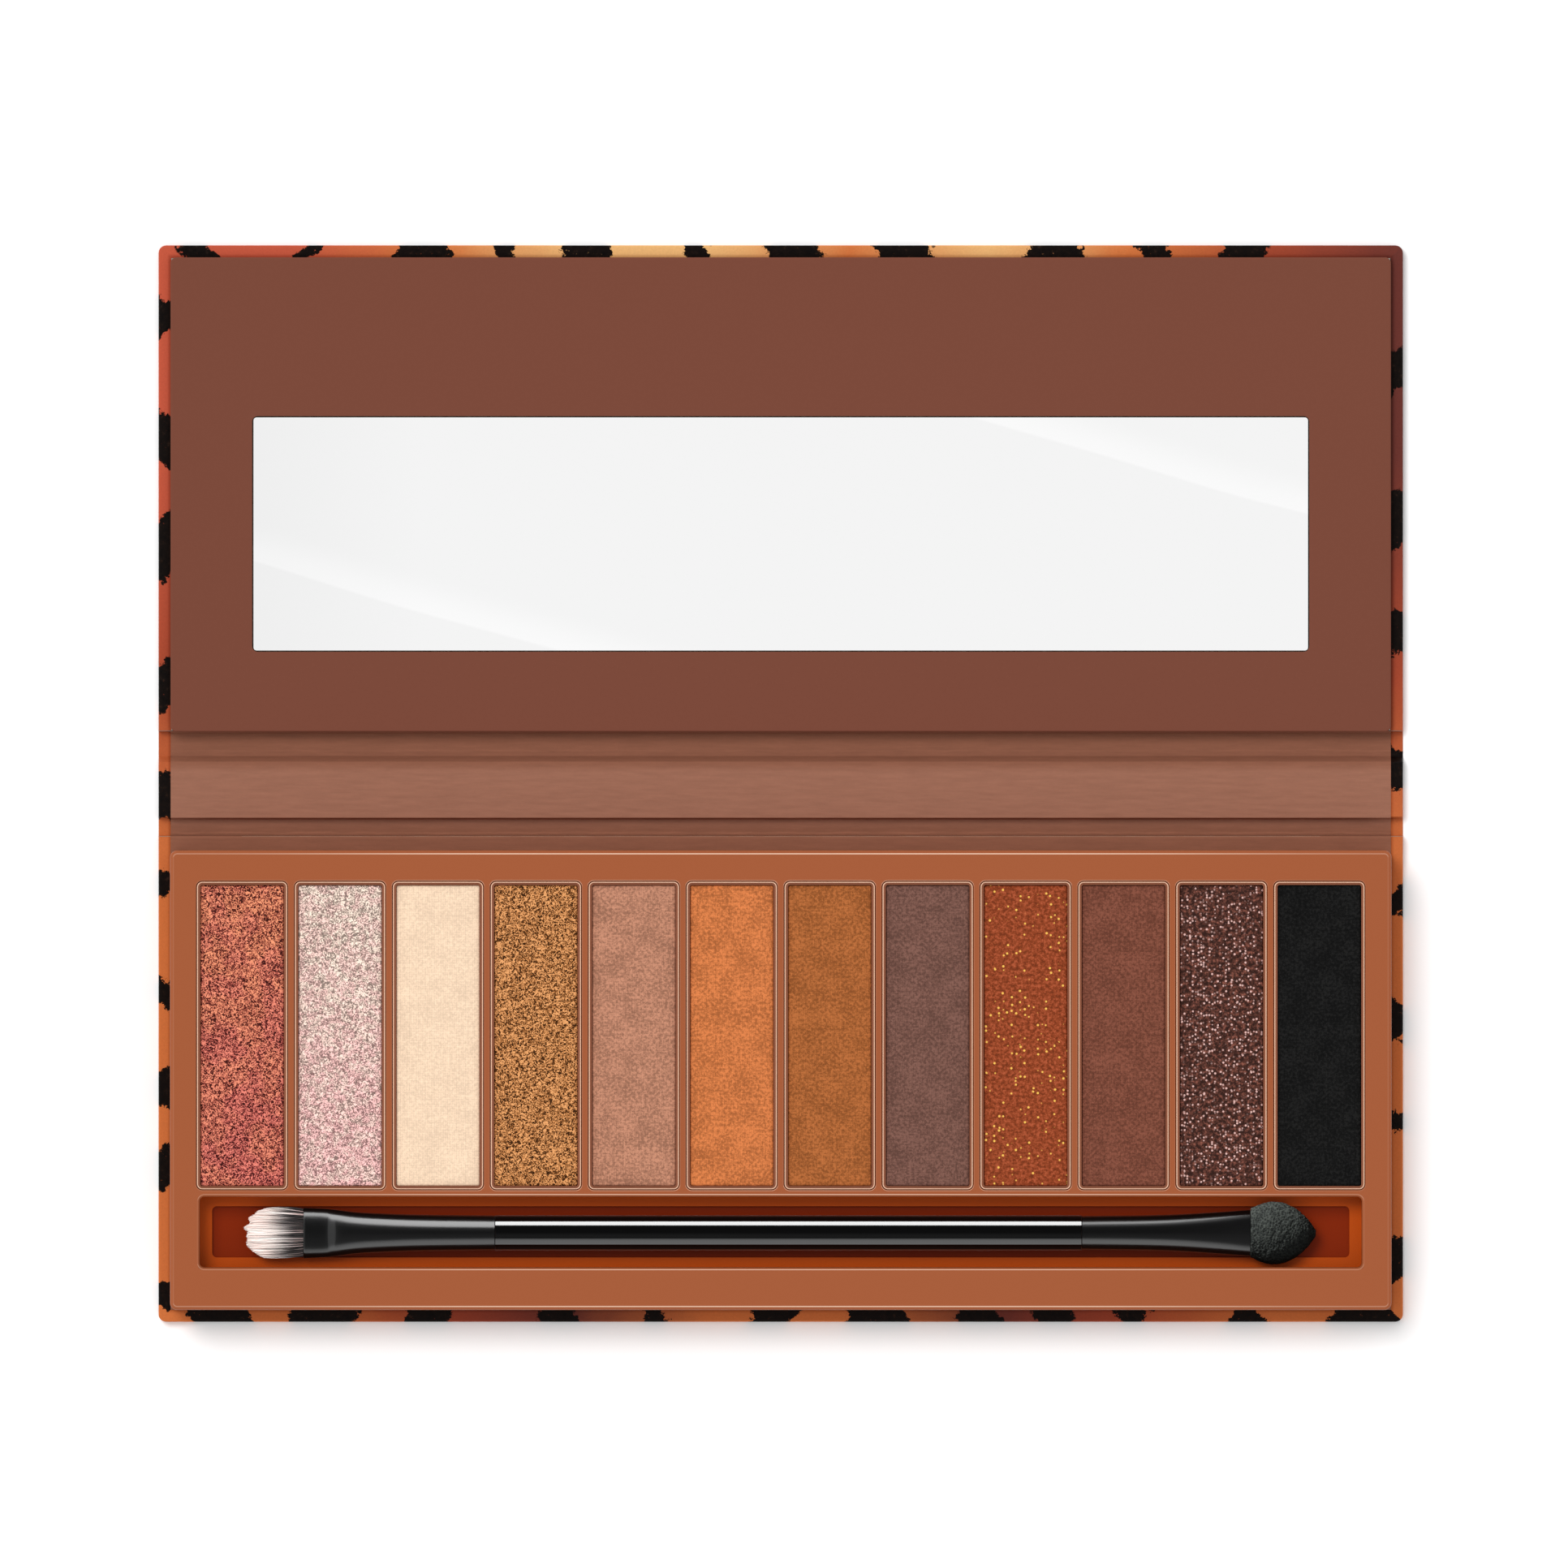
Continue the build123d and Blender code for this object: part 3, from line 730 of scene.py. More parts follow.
# Painted highlight on the rim's crest: a light tone on top. Elsewhere a darker reddish tone, painted shade
# with the tray's reflection painted in.
painted_highlight_on_crest = pan_metal.step(pan_z, pan_top - 0.035, pan_top - 0.01)
RIM_SHADE, RIM_PAINTED_HIGHLIGHT = (0.30, 0.10, 0.05, 1.0), (0.95, 0.60, 0.42, 1.0)
pan_colour = pan_metal.mix(painted_highlight_on_crest, RIM_SHADE, RIM_PAINTED_HIGHLIGHT)
pan_colour = pan_metal.tint(pan_colour, grey(1.04), grey(0.94), brushed)
pan_metal.set(Base_Color=pan_colour, Metallic=0.55, Roughness=0.35)
for number in range(1, 13):
    make_pan(number)

# ======================= powders =======================
# Display colour and finish of each pressed powder.
POWDERS = [((185, 85, 75), "shimmer"), ((215, 185, 175), "pearl"), ((250, 220, 190), "fine"),
           ((180, 110, 55), "shimmer"), ((185, 130, 105), "matte"), ((205, 120, 70), "matte"),
           ((170, 100, 55), "matte"), ((120, 85, 75), "matte"), ((150, 70, 40), "glints"),
           ((125, 75, 60), "matte"), ((100, 60, 50), "sparkle"), ((30, 30, 30), "matte")]
WHITE, GOLD = (255, 250, 240), (255, 215, 160)
# Of each finish: share by which the darker grains fall short of the powder's colour, share by which the
# lighter ones exceed it, and the colour mixed into the lighter ones with its share. On the shimmer and pearl
# finishes the lighter grains are painted glints of the flakes.
GRAINS = {"fine": (0.1, 0.12, WHITE, 0.0), "matte": (0.3, 0.35, WHITE, 0.004),
          "shimmer": (0.9, 1.0, GOLD, 0.35), "pearl": (0.6, 0.9, WHITE, 0.2),
          "glints": (0.4, 0.6, WHITE, 0.02), "sparkle": (0.7, 1.6, WHITE, 0.0)}
POWDER_EDGE = 0.25
# Tints of the powders that change colour across the pan: near the front, near the rear, size of the patches.
PATCHES = {1: ((0.98, 0.78, 0.98, 1.0), (1.06, 1.10, 0.96, 1.0), 5.0),
           2: ((1.05, 0.81, 0.87, 1.0), (1.03, 1.1, 1.04, 1.0), 1.0)}


def scaled(colour, factor, other, share):
    """A surface colour made lighter or darker, with a share of another one mixed in, kept below white."""
    mixed = [part * factor * (1 - share) + extra * share for part, extra in zip(colour[:3], paint(other))]
    return [min(0.95, part) for part in mixed] + [1.0]


def powder_look(number, colour, finish):
    usual = paint(colour)
    less, more, glint_colour, share = GRAINS[finish]
    dark, light = scaled(usual, 1 - less, glint_colour, 0.0), scaled(usual, 1 + more, glint_colour, share)
    look = Look(f"powder_{number:02d}")
    x, y, z = look.axes()
    rib = look.math("SINE", look.times(x, 2 * math.pi / 0.26))
    cross = look.math("SINE", look.times(y, 2 * math.pi / 0.34))
    weave = look.plus(look.times(rib, 0.35), look.times(cross, 0.15))
    soft = look.noise(3.5, 4.0, 0.6)
    if finish in ("fine", "matte"):
        grain = look.noise(0.42, 4.0, 0.75)
        share = look.plus(look.times(grain, 0.75), look.times(soft, 0.25))
        colour = look.ramp(share, [(0.43, dark), (0.5, usual), (0.57, light)])
        woven = look.step(look.plus(weave, look.times(look.noise(0.9, 2.0), 0.8)), -0.2, 1.0)
        colour = look.tint(colour, grey(1.09), grey(0.91), woven)
        relief = look.plus(look.times(weave, 0.5), look.noise(0.2, 3.0, 0.7))
        look.bump(relief, 0.02, 0.6)
        look.set(Roughness=0.85, Specular_IOR_Level=0.04)
    elif finish == "glints":
        grain = look.noise(0.5, 4.0, 0.75)
        colour = look.ramp(grain, [(0.40, dark), (0.5, usual), (0.62, light)])
        # Painted glints: scattered bright gold specks in the powder's colour.
        chance = look.axes(look.cells(0.62, output="Color"))[0]
        painted_glints = look.times(look.step(look.cells(0.62), 0.34, 0.2), look.math("GREATER_THAN", chance, 0.72))
        colour = look.mix(painted_glints, colour, paint((255, 202, 96)))
        look.bump(look.plus(grain, look.times(weave, 0.3)), 0.03, 0.6)
        look.set(Roughness=0.7, Specular_IOR_Level=0.08)
    elif finish == "sparkle":
        # Painted glints: scattered bright pink specks in the powder's colour.
        chance = look.axes(look.cells(0.4, output="Color"))[0]
        painted_glints = look.times(look.step(look.cells(0.4), 0.5, 0.25), look.step(chance, 0.45, 0.9))
        grain = look.noise(0.55, 3.0, 0.7)
        colour = look.ramp(grain, [(0.44, dark), (0.56, usual), (0.68, light)])
        colour = look.mix(painted_glints, colour, paint((236, 192, 184)))
        look.bump(look.plus(grain, weave), 0.04, 0.6)
        look.set(Roughness=0.5, Specular_IOR_Level=0.12)
    else:
        worms = look.noise(0.36, 3.0, 0.62, distortion=1.6)
        fine = look.noise(0.2, 2.0, 0.6)
        share = look.plus(look.times(worms, 0.8), look.times(fine, 0.2))
        share = look.plus(share, look.times(look.minus(soft, 0.5), 0.08))
        colour = look.ramp(share, [(0.46, dark), (0.505, usual), (0.55, light)])
        if number in PATCHES:
            near, far, size = PATCHES[number]
            patch = look.step(look.noise(size, 2.0), 0.42, 0.58)
            tone = look.step(y, powder_span[0] + 8, powder_span[1] - 4)
            patch = look.times(look.plus(patch, tone), 0.5)
            colour = look.shade(colour, look.mix(patch, near, far))
        look.bump(share, 0.06, 0.7)
        look.set(Roughness=0.5, Specular_IOR_Level=0.08)
    look.set(Base_Color=colour)
    return look


def make_powder(number, look):
    name = f"powder_{number:02d}"
    low, high = box_mm(name)
    box = (low[0], high[0], low[1], high[1])
    spacing = 0.3
    xs = lines(low[0] + 0.45, high[0] - 0.45, spacing)
    ys = lines(low[1] + 0.45, high[1] - 0.45, spacing)

    def top(x, y):
        """Pressed surface: a shallow crown and faint unevenness, never above the CAD cake."""
        near = min(x - low[0], high[0] - x, y - low[1], high[1] - y)
        sag = 0.05 * math.exp(-max(near, 0.0) / 0.8)
        return high[2] - 0.02 - sag + 0.009 * float(ripple(x, y, number, 3.0, 6))

    rings = [ring(box, 0.3, 0.35, low[2], xs, ys), ring(box, 0.3, 0.0, low[2], xs, ys)]
    for turn in np.linspace(0, math.pi / 2, 5):
        inset = POWDER_EDGE * (1 - math.cos(turn))
        drop = POWDER_EDGE * (1 - math.sin(turn))
        rings.append(ring(box, 0.3, inset, lambda x, y: top(x, y) - drop, xs, ys))
    rings.append(ring(box, 0.3, 0.35, top, xs, ys))
    wide = np.concatenate([[low[0] + 0.35], xs, [high[0] - 0.35]])
    deep = np.concatenate([[low[1] + 0.35], ys, [high[1] - 0.35]])
    parts = [skin(rings), grid(wide, deep, lambda x, y: low[2], upward=False), grid(wide, deep, top)]
    piece = make_piece(f"pressed_{name}", *join(*parts), sharp_degrees=70)
    dress(piece, look)
    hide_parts(name)
    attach(piece, "base")


powder_span = (box_mm("powder_01")[0][1], box_mm("powder_01")[1][1])
powder_looks = []
for number, (powder_colour, finish) in enumerate(POWDERS, start=1):
    powder_looks.append(powder_look(number, powder_colour, finish))
    make_powder(number, powder_looks[-1])


# ======================= applicator =======================
POINT = 1e-4                # half width of a section that closes an end


def section(x, half_y, half_z, segments=64):
    """Points around an ellipse across the applicator's axis."""
    turns = np.linspace(0, 2 * math.pi, segments, endpoint=False)
    ys, zs = axis_y - half_y * np.cos(turns), axis_z + half_z * np.sin(turns)
    return [(x, y, z) for y, z in zip(ys, zs)]


def closed_loft(name, sections, sharp_degrees=40):
    """A closed solid through (x, half width, half height) sections, ends gathered to a point."""
    start, end = sections[0][0], sections[-1][0]
    rings = [section(*one) for one in [(start, POINT, POINT), *sections, (end, POINT, POINT)]]
    return make_piece(name, *skin(rings), sharp_degrees)


def smooth_sections(sections, spacing=0.7):
    """More sections between the given ones, along a smooth monotone curve."""
    at = np.array([s[0] for s in sections])
    xs = np.unique(np.concatenate([lines(at[0], at[-1], spacing), at]))

    def curve(values):
        rise = np.diff(values) / np.diff(at)
        slope = np.concatenate([[rise[0]], (rise[1:] + rise[:-1]) / 2, [rise[-1]]])
        for i in range(1, len(at) - 1):
            if rise[i - 1] * rise[i] <= 0:
                slope[i] = 0.0
        which = np.clip(np.searchsorted(at, xs, side="right") - 1, 0, len(at) - 2)
        width = at[which + 1] - at[which]
        t = (xs - at[which]) / width
        return ((2 * t**3 - 3 * t**2 + 1) * values[which] + (t**3 - 2 * t**2 + t) * width * slope[which]
                + (3 * t**2 - 2 * t**3) * values[which + 1] + (t**3 - t**2) * width * slope[which + 1])

    half_y = curve(np.array([s[1] for s in sections]))
    half_z = curve(np.array([s[2] for s in sections]))
    return list(zip(xs, half_y, half_z))


tube_left, tube_right = tube_low[0], tube_high[0]
SEAM = 0.06                 # rounding at the seams where the ends plug into the tube
tube_sections = [(x, radius, radius) for x, radius in (
    (tube_left, tube_radius - SEAM), (tube_left + SEAM, tube_radius), (tube_right - SEAM, tube_radius),
    (tube_right, tube_radius - SEAM))]
ferrule_outer = smooth_sections(
    [(mouth + 0.12, 3.65, 1.40), (-65.45, 3.48, 1.42), (-65.25, 3.46, 1.47), (-64.5, 3.39, 1.74),
     (-64.2, 3.36, 1.79), (-61.5, 3.03, 1.98), (-57.0, 2.79, 2.2), (-53.0, 2.66, 2.36),
     (tube_left - SEAM, 2.52, 2.52)], 0.35)
ferrule_inner = [(mouth + 3.0, 0.4, 0.2), (mouth + 3.0, 3.12, 1.10), (mouth + 0.1, 3.30, 1.05),
                 (mouth + 0.02, 3.36, 1.11), (mouth, 3.42, 1.17), (mouth, 3.56, 1.31),
                 (mouth + 0.04, 3.62, 1.37)]
ferrule_sections = ferrule_inner + ferrule_outer + [(tube_left, 2.46, 2.46)]
stem_end, paddle_end = sponge_low[0], box_mm("sponge_stem")[1][0]
stem_sections = [(tube_right, 2.38, 2.38)] + smooth_sections(
    [(tube_right + SEAM, 2.45, 2.45), (56.0, 2.64, 2.25), (63.8, 3.07, 1.82), (stem_end - 0.08, 3.35, 1.50)])
stem_sections += [(stem_end, 3.25, 1.40)]
paddle_sections = [(stem_end - 0.05, 2.2, 0.6), (paddle_end - 1.5, 2.0, 0.55), (paddle_end, 1.0, 0.4)]

tube_look = Look("black_gloss_tube")
tube_look.set(Base_Color=(0.0012, 0.0012, 0.0013, 1.0), Roughness=0.06, IOR=1.5, Sheen_Weight=0.14,
              Sheen_Roughness=0.3)
tube_look.bump(tube_look.noise(4.0, 3.0), 0.0005, 0.05)
plastic_look = Look("black_gloss_plastic")
plastic_look.set(Base_Color=(0.0016, 0.0016, 0.0017, 1.0), Roughness=0.22, IOR=1.5, Sheen_Weight=0.06,
                 Sheen_Roughness=0.3)
plastic_look.bump(plastic_look.noise(0.8, 3.0), 0.003, 0.2)

for name, sections, look, replaced, slot_name in (
        ("gloss_tube", tube_sections, tube_look, "handle_tube", "black_gloss_tube"),
        ("brush_end", ferrule_sections, plastic_look, "brush_ferrule", "black_gloss_tube"),
        ("sponge_end", stem_sections, plastic_look, "sponge_stem", "black_gloss_plastic")):
    piece = closed_loft(name, sections, sharp_degrees=35)
    dress(piece, look)
    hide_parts(replaced)
    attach(piece, "applicator")
paddle = closed_loft("sponge_paddle", paddle_sections)
dress(paddle, plastic_look)
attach(paddle, "applicator")

# ---- bristles ----
BRISTLES = 1100
TUFT_ROUND = 3.2            # length of the rounded end
LAST_TIP = -74.0            # every hair reaches at least this far
DARKENS_FROM_TO = (-76.2, -72.0)      # where the hairs turn from the tips' to the roots' colour
tuft_half = (tuft_high[1] - tuft_low[1]) / 2 - 0.15
tuft_tip = tuft_low[0] + 0.05


def make_bristles():
    """Tapered hairs from inside the ferrule to a rounded tip line."""
    chance = np.random.default_rng(11)
    points, faces, tones = [], [], []
    turns = np.linspace(0, 2 * math.pi, 5, endpoint=False)
    for _ in range(BRISTLES):
        turn, reach = chance.uniform(0, 2 * math.pi), math.sqrt(chance.uniform())
        across, up = reach * math.cos(turn), reach * math.sin(turn)
        tip_across = float(np.clip(across + chance.normal(0, 0.05), -1, 1))
        tip_y = tuft_half * tip_across
        limit = tuft_tip + TUFT_ROUND * (1 - math.sqrt(1 - tip_across ** 2))
        tuft = 0.22 + 0.28 * float(ripple(tip_y, 0.4 * up, 21, 1.1))
        shorter = abs(chance.normal(0, 0.2)) + 0.4 * abs(up) * chance.uniform(0, 1)
        tip_x = min(limit + tuft + shorter, LAST_TIP)
        root_x = mouth + 2.6
        start = np.array([root_x, 2.95 * across, 0.85 * up])
        end = np.array([tip_x, tip_y, 0.55 * up + chance.normal(0, 0.04)])
        swell = np.array([0.0, 0.25 * across, 0.35 * up]) + chance.normal(0, 0.06, 3) * [0, 1, 1]
        thick = chance.uniform(0.045, 0.07)
        rows = []
        for t in (0, 0.2, 0.4, 0.6, 0.8, 0.93, 1.0):
            centre = start + (end - start) * t + swell * math.sin(math.pi * t)
            wide = thick * (1 - 0.25 * t) if t < 1 else thick * 0.3
            middle_y, middle_z = axis_y + centre[1], axis_z + centre[2]
            rows.append([(centre[0], middle_y + wide * math.cos(a), middle_z + wide * math.sin(a))
                         for a in turns])
        shift = len(points)
        strand_points, strand_faces = skin(rows)
        count = len(turns)
        strand_faces.append(tuple(range(count))[::-1])
        strand_faces.append(tuple(range(count * (len(rows) - 1), count * len(rows))))
        points += strand_points
        faces += [tuple(i + shift for i in face[::-1]) for face in strand_faces]
        tones += [chance.uniform()] * len(strand_points)
    mesh = bpy.data.meshes.new("brush_bristles")
    mesh.from_pydata([tuple(np.array(p) * MM) for p in points], [], faces)
    mesh.shade_smooth()
    mesh.set_sharp_from_angle(angle=math.radians(50))
    attribute = mesh.attributes.new("tone", "FLOAT", "POINT")
    attribute.data.foreach_set("value", np.array(tones, np.float32))
    return new_object("brush_bristles", mesh)


bristle_look = Look("bristle")
bristle_x = bristle_look.axes()[0]
hair_tone = bristle_look.value("tone")
tip_colour = bristle_look.mix(hair_tone, (0.80, 0.60, 0.54, 1.0), (0.98, 0.94, 0.90, 1.0))
light_hair = bristle_look.step(hair_tone, 0.62, 0.9)
root_colour = bristle_look.mix(light_hair, (0.008, 0.004, 0.004, 1.0), (0.45, 0.32, 0.3, 1.0))
to_root = bristle_look.plus(bristle_x, bristle_look.times(hair_tone, -3.2))
hair_colour = bristle_look.mix(bristle_look.step(to_root, *DARKENS_FROM_TO), tip_colour, root_colour)
bristle_look.set(Base_Color=hair_colour, Roughness=0.5, Specular_IOR_Level=0.5, Sheen_Weight=0.4)
bristles = make_bristles()
dress(bristles, bristle_look)
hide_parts("bristle_tuft")
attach(bristles, "applicator")

# ---- foam sponge ----
sponge_half = (sponge_high[1] - sponge_low[1]) / 2 - 0.03
sponge_thick = (sponge_high[2] - sponge_low[2]) / 2 - 0.04
# Share of the foam's length, of its half width and of its half thickness at each section.
SPONGE_SHAPE = [(0.0, 0.78, 0.76), (0.15, 0.92, 0.9), (0.36, 1.0, 1.0), (0.62, 0.86, 0.9), (0.85, 0.5, 0.62),
                (1.0, 0.1, 0.15)]
sponge_length = sponge_high[0] - 0.15 - stem_end
SPONGE = [(stem_end + 0.02 + along * sponge_length, wide * sponge_half, thick * sponge_thick)
          for along, wide, thick in SPONGE_SHAPE]


PORES = 2200
FOAM_NARROWS = 72.0         # from here to the tip, pores also lean back along the foam


def make_sponge():
    """The foam tip: a rounded paddle whose surface is pitted with small pores."""
    sections = smooth_sections(SPONGE, 0.09)
    start, end = sections[0][0], sections[-1][0] + 0.06
    sections = [(start, POINT, POINT), (start, 2.6, 0.9), *sections, (end, POINT, POINT)]
    points, faces = skin([section(*one, segments=110) for one in sections])
    points = np.array(points)
    chance = np.random.default_rng(5)
    pores = points[chance.choice(len(points), PORES)]
    sizes = chance.uniform(0.07, 0.16, len(pores))
    depth = np.zeros(len(points))
    for pore, size in zip(pores, sizes):
        distance = np.linalg.norm(points - pore, axis=1)
        depth = np.maximum(depth, size * 0.75 * np.exp(-(distance / size) ** 2))
    uneven = 0.02 * ripple(points[:, 0], points[:, 1] + 1.7 * points[:, 2], 3, 1.6)
    inward = points - np.array([0.0, axis_y, axis_z])
    inward[:, 0] = np.clip(points[:, 0] - FOAM_NARROWS, 0, None) * 0.5
    length = np.linalg.norm(inward, axis=1, keepdims=True)
    inward = inward / np.maximum(length, 1e-6)
    fade = np.clip(length[:, 0] / 0.8, 0, 1)
    points = points - inward * ((depth + np.maximum(-uneven, -0.02)) * fade)[:, None]
    return make_piece("foam_sponge", points, faces, sharp_degrees=80)


foam_look = Look("foam")
# Painted shade in the pores: the foam is darkest at the middle of each cell, and the same cells give its
# relief.
pore_depth_and_shade = foam_look.cells(0.3)
foam_grain = foam_look.noise(0.25, 3.0, 0.7)
foam_colour = foam_look.ramp(pore_depth_and_shade, [(0.1, (0.002, 0.002, 0.002, 1)), (0.45, (0.005, 0.0056, 0.0052, 1)),
                                    (0.75, (0.009, 0.010, 0.009, 1))])
foam_colour = foam_look.tint(foam_colour, grey(1.25), grey(0.75), foam_grain)
foam_look.set(Base_Color=foam_colour, Roughness=0.7, Specular_IOR_Level=0.05)
foam_look.bump(foam_look.plus(pore_depth_and_shade, foam_grain), 0.10, 0.8)
sponge = make_sponge()
dress(sponge, foam_look)
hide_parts("sponge_tip")
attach(sponge, "applicator")

# ======================= CAD pieces shown as they are =======================
TRAY_BROWN = (170, 95, 60)
WELL_Y, WELL_HALF_X, WELL_HALF_Y = -64.8, 83.95, 5.1      # middle and half size of the applicator's well
tray_look = Look("tray_plastic")
tray_grain = tray_look.noise(0.35, 3.0, 0.6)
tray_x, tray_y, tray_z = tray_look.axes()
top_z = tray_high[2]
# Painted shade in the applicator's well, by height from the top of the tray: floor, step, ledge, walls. The
# well is darker and redder than the tray as painted shade and painted bounce light, and the ledge is painted
# lighter where the sun's shadow falls on it.
well_painted_shade_stops = [(-5.3, (160, 50, 0)), (-5.0, (150, 50, 0)), (-4.75, (160, 60, 5)), (-4.6, (215, 90, 25)),
              (-4.4, (215, 90, 25)), (-4.2, (140, 60, 20)), (-0.6, (140, 65, 30)), (-0.25, TRAY_BROWN)]
well_painted_shade_colour = tray_look.ramp(tray_z, [(top_z + drop, paint(colour)) for drop, colour in well_painted_shade_stops])
# Painted shade: the well is darker towards its front side.
painted_shade_across_well = tray_look.ramp(tray_y, [(WELL_Y - WELL_HALF_Y, grey(0.8)), (WELL_Y + WELL_HALF_Y, grey(1.0))])
well_painted_shade_colour = tray_look.shade(well_painted_shade_colour, painted_shade_across_well)
from_middle = tray_look.math("ABSOLUTE", tray_look.minus(tray_y, WELL_Y))
from_centre = tray_look.math("ABSOLUTE", tray_x)
in_well = tray_look.times(tray_look.step(from_middle, WELL_HALF_Y + 0.3, WELL_HALF_Y + 0.1),
                          tray_look.step(from_centre, WELL_HALF_X + 0.3, WELL_HALF_X + 0.1))
tray_colour = tray_look.mix(in_well, paint(TRAY_BROWN), well_painted_shade_colour)

# Painted highlight: a light line painted on the rounded top edges that run along x, fading towards both ends.
facing = tray_look.axes(tray_look.node("ShaderNodeTexCoord").outputs["Normal"])
painted_edge_highlight = tray_look.times(tray_look.step(facing[2], 0.93, 0.975), tray_look.step(facing[2], 0.999, 0.992))
along_x = tray_look.step(tray_look.math("ABSOLUTE", facing[1]), 0.02, 0.08, 0.22, 0.9)
to_ends = tray_look.step(from_centre, 40.0, 86.0, 1.0, 0.3)
for share in (tray_look.step(tray_z, top_z - 0.3, top_z - 0.05), along_x, to_ends):
    painted_edge_highlight = tray_look.times(painted_edge_highlight, share)
tray_colour = tray_look.mix(painted_edge_highlight, tray_colour, paint((245, 205, 180)))
tray_colour = tray_look.tint(tray_colour, grey(1.02), grey(0.98), tray_grain)
tray_look.set(Base_Color=tray_colour, Roughness=0.42, Specular_IOR_Level=0.1)
tray_look.bump(tray_grain, 0.006, 0.3)

board_look = Look("greyboard")
board_colour = board_look.tint(paint((150, 144, 134)), grey(1.1), grey(0.85), board_look.noise(0.8, 4.0))
board_look.set(Base_Color=board_colour, Roughness=0.9)
glue_look = Look("glue")
glue_colour = glue_look.tint(paint((214, 204, 180)), grey(1.04), grey(0.94), glue_look.noise(2.0, 2.0))
glue_look.set(Base_Color=glue_colour, Roughness=0.4)
steel_look = Look("magnet_steel")
steel_colour = steel_look.tint((0.62, 0.62, 0.64, 1.0), grey(1.05), grey(0.9), steel_look.noise(0.6, 3.0))
steel_look.set(Base_Color=steel_colour, Metallic=1.0, Roughness=0.35)
mirror_look = Look("mirror_glass")
mirror_x, mirror_y, _ = mirror_look.axes()
# Painted reflections: faint light streaks across the mirror's colour: where each starts at its middle, their
# width, sharp edge and slope.
STREAKS, STREAK_WIDTH, STREAK_EDGE, STREAK_SLOPE = (12.0, 63.0), 6.0, 0.6, 0.29
slant = mirror_look.plus(mirror_y, mirror_look.times(mirror_x, STREAK_SLOPE))
slant = mirror_look.plus(slant, mirror_look.times(mirror_look.noise(60.0, 1.0), 3.0))
painted_reflection = mirror_look.plus(*[
    mirror_look.times(mirror_look.step(slant, at - STREAK_EDGE, at),
                      mirror_look.step(slant, at + STREAK_WIDTH, at)) for at in STREAKS])
painted_streaks_colour = mirror_look.mix(painted_reflection, grey(0.895), grey(0.945))
# Painted shade: the mirror is darker towards its left end.
corner_shade = mirror_look.ramp(mirror_x, [(-78, grey(0.95)), (-52, grey(1.0))])
mirror_colour = mirror_look.shade(painted_streaks_colour, corner_shade)
mirror_look.set(Base_Color=mirror_colour, Metallic=1.0, Roughness=0.02)

# The CAD nodes that are shown, then the hidden ones with the material of the piece that stands for them.
# The hidden powder nodes keep the material they were imported with.
NODE_LOOKS = [
    (tray_look, ["tray"]), (mirror_look, ["mirror"]), (steel_look, ["tray_magnets", "lid_magnets"]),
    (board_look, ["base_board", "spine_board", "lid_board", "mirror_frame"]),
    (glue_look, ["base_glue_film", "spine_glue_film", "lid_glue_film", "tray_adhesive", "pan_glue_dots"]),
    (paper_print, ["base_wrap", "spine_wrap", "lid_wrap"]),
    (paper_lid, ["base_liner", "spine_liner", "lid_liner"]),
    (pan_metal, [f"pan_{number:02d}" for number in range(1, 13)]),
    (tube_look, ["handle_tube", "brush_ferrule"]), (plastic_look, ["sponge_stem"]),
    (bristle_look, ["bristle_tuft"]), (foam_look, ["sponge_tip"])]
for look, nodes in NODE_LOOKS:
    for node in nodes:
        dress(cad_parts[node], look)

# ======================= table, lights and camera =======================
SUN_STRENGTH, SUN_SIZE, RAKING_SIZE = 1.52, 28.0, 8.0
SUN_ELEVATION, SUN_AZIMUTH = 60.0, 130.0        # azimuth from +x towards +y: the far left
SKY = 0.85

CAMERA_HEIGHT, VIEW_WIDTH, SENSOR = 8.0, 0.22685, 36.0      # the view's width is measured on the table
VIEW_CENTRE = (0.00047, -0.00006)


def group_of(name, pieces):
    """A collection for light linking."""
    group = bpy.data.collections.new(name)
    for piece in pieces:
        group.objects.link(piece)
    return group


def sun_light(name, strength, size, elevation):
    """A sun from the far left, which no reflection shows."""
    data = bpy.data.lights.new(name, "SUN")
    data.energy = strength
    data.angle = math.radians(size)
    made = new_object(name, data)
    made.rotation_euler = (math.radians(90 - elevation), 0, math.radians(SUN_AZIMUTH + 90))
    made.visible_glossy = False
    return made


def card(name, place, turn, width, height, radiance, shines_on):
    """A rectangular light that only shows in the reflections of the pieces it shines on."""
    data = bpy.data.lights.new(name, "AREA")
    data.shape = "RECTANGLE"
    data.size, data.size_y = width, height
    data.energy = radiance * width * height * math.pi
    made = new_object(name, data)
    made.location = place
    made.rotation_euler = (math.radians(turn), 0, 0)
    made.visible_camera = made.visible_diffuse = made.visible_transmission = False
    made.light_linking.receiver_collection = group_of(name + "_shines_on", shines_on)


def wall_card(name, side, low, high, radiance, shines_on):
    """A light card behind (side 1) or in front (side -1) of the case, between two angles above the table."""
    far = 3.0
    bottom, top = (far * math.tan(math.radians(angle)) for angle in (low, high))
    card(name, (0, far * side, (bottom + top) / 2), -90 * side, 8.0, top - bottom, radiance, shines_on)


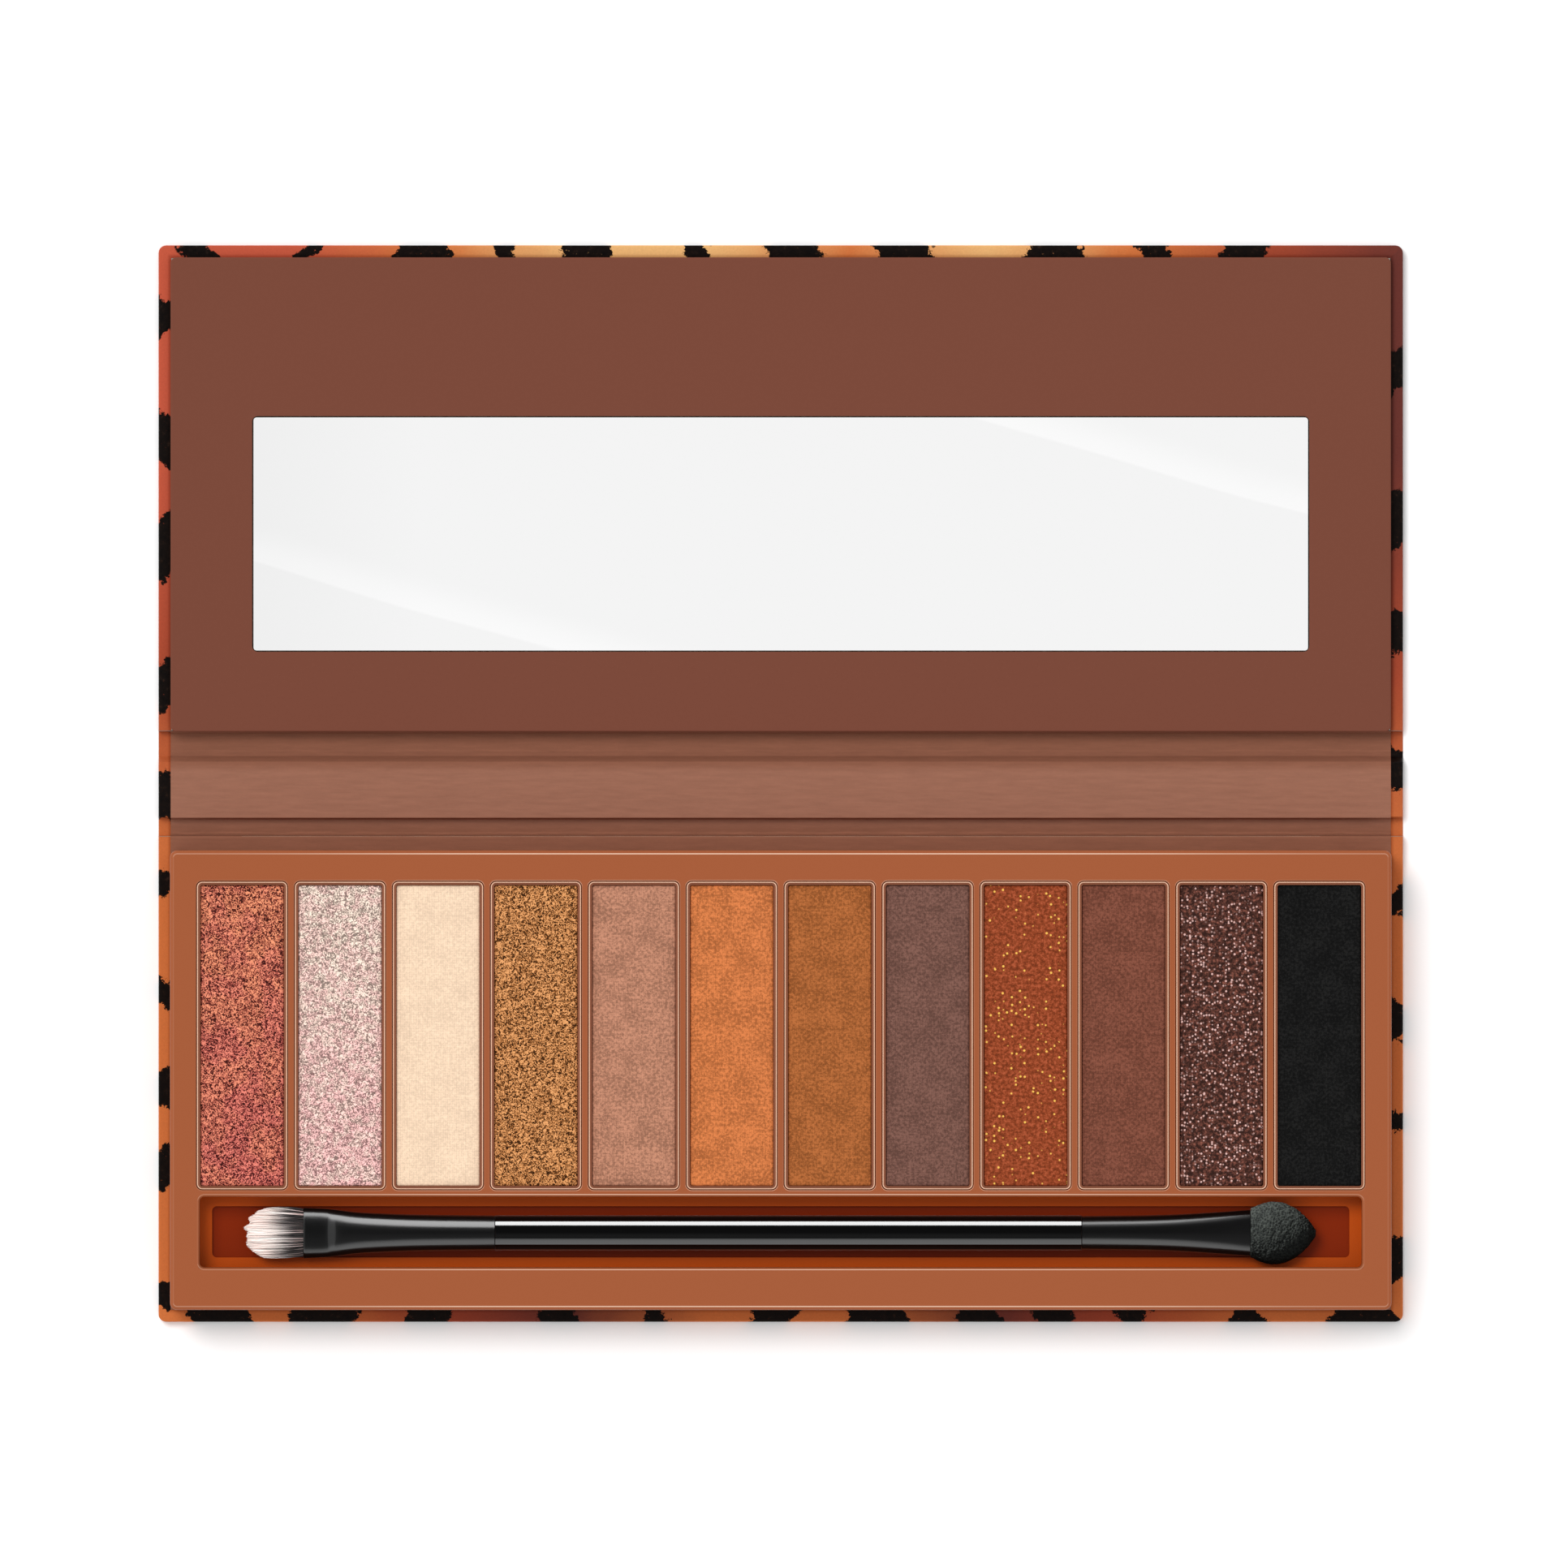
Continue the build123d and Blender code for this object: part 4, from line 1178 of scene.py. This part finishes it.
FLOOR, FLOOR_Z = 20.0, -0.00002
floor_mesh = bpy.data.meshes.new("table_top")
floor_mesh.from_pydata([(-FLOOR, -FLOOR, FLOOR_Z), (FLOOR, -FLOOR, FLOOR_Z), (FLOOR, FLOOR, FLOOR_Z),
                        (-FLOOR, FLOOR, FLOOR_Z)], [], [(0, 1, 2, 3)])
floor = new_object("table_top", floor_mesh)
floor_look = Look("table_top")
floor_colour = floor_look.tint(grey(0.985), grey(1.0), grey(0.995), floor_look.noise(300.0))
floor_look.set(Base_Color=floor_colour, Roughness=0.9, Specular_IOR_Level=0.0)
floor_mesh.materials.append(floor_look.material)

tube, brush_end, sponge_end = (bpy.data.objects[name] for name in ("gloss_tube", "brush_end", "sponge_end"))
wall_card("strip_on_tube", 1, 5.0, 38.0, 20.0, [tube])
wall_card("strip_on_brush_end", 1, 4.0, 52.0, 9.0, [brush_end])
wall_card("strip_on_sponge_end", 1, 2.0, 30.0, 6.0, [sponge_end])
wall_card("front_card", -1, 2.0, 52.0, 1.7, [tube, brush_end, sponge_end])
card("ceiling_on_mirror", (0, 0, 2.9), 0, 8.0, 8.0, 0.93, [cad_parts["mirror"]])

for name, strength, elevation, lit in (("raking_light_on_sponge", 46.0, 17.0, "foam_sponge"),
                                       ("raking_light_on_bristles", 1.2, 40.0, "brush_bristles")):
    raking = sun_light(name, strength, RAKING_SIZE, elevation)
    group = group_of(name + "_group", [bpy.data.objects[lit]])
    raking.light_linking.receiver_collection = group
    raking.light_linking.blocker_collection = group
sun_light("sun", SUN_STRENGTH, SUN_SIZE, SUN_ELEVATION)

world = bpy.data.worlds.new("studio")
bpy.context.scene.world = world
world.use_nodes = True
sky = Nodes(world.node_tree)
direction = sky.node("ShaderNodeTexCoord").outputs["Generated"]
right_way, rear_way, upward = sky.axes(direction)
high_up = sky.step(upward, 0.64, 0.72)
narrow = sky.step(sky.math("ABSOLUTE", right_way), 0.36, 0.24)
flag = sky.times(high_up, narrow)
flag_tone = sky.step(rear_way, -0.3, 0.1, 0.2, 0.06)
mixed_flag = sky.node("ShaderNodeCombineColor")
for socket in mixed_flag.inputs[:3]:
    sky.feed(socket, flag_tone)
around = sky.mix(flag, grey(0.95), mixed_flag.outputs[0])
glossy_only = sky.node("ShaderNodeLightPath").outputs["Is Glossy Ray"]
background = world.node_tree.nodes["Background"]
sky.feed(background.inputs["Color"], sky.mix(glossy_only, grey(SKY), around))
background.inputs["Strength"].default_value = 1.0

camera_data = bpy.data.cameras.new("camera")
camera_data.sensor_width = SENSOR
camera_data.lens = CAMERA_HEIGHT * SENSOR / VIEW_WIDTH
camera_data.clip_start, camera_data.clip_end = 0.1, 100.0
camera = new_object("camera", camera_data)
camera.location = (*VIEW_CENTRE, CAMERA_HEIGHT)
bpy.context.scene.camera = camera
bpy.context.scene.view_settings.view_transform = "Standard"
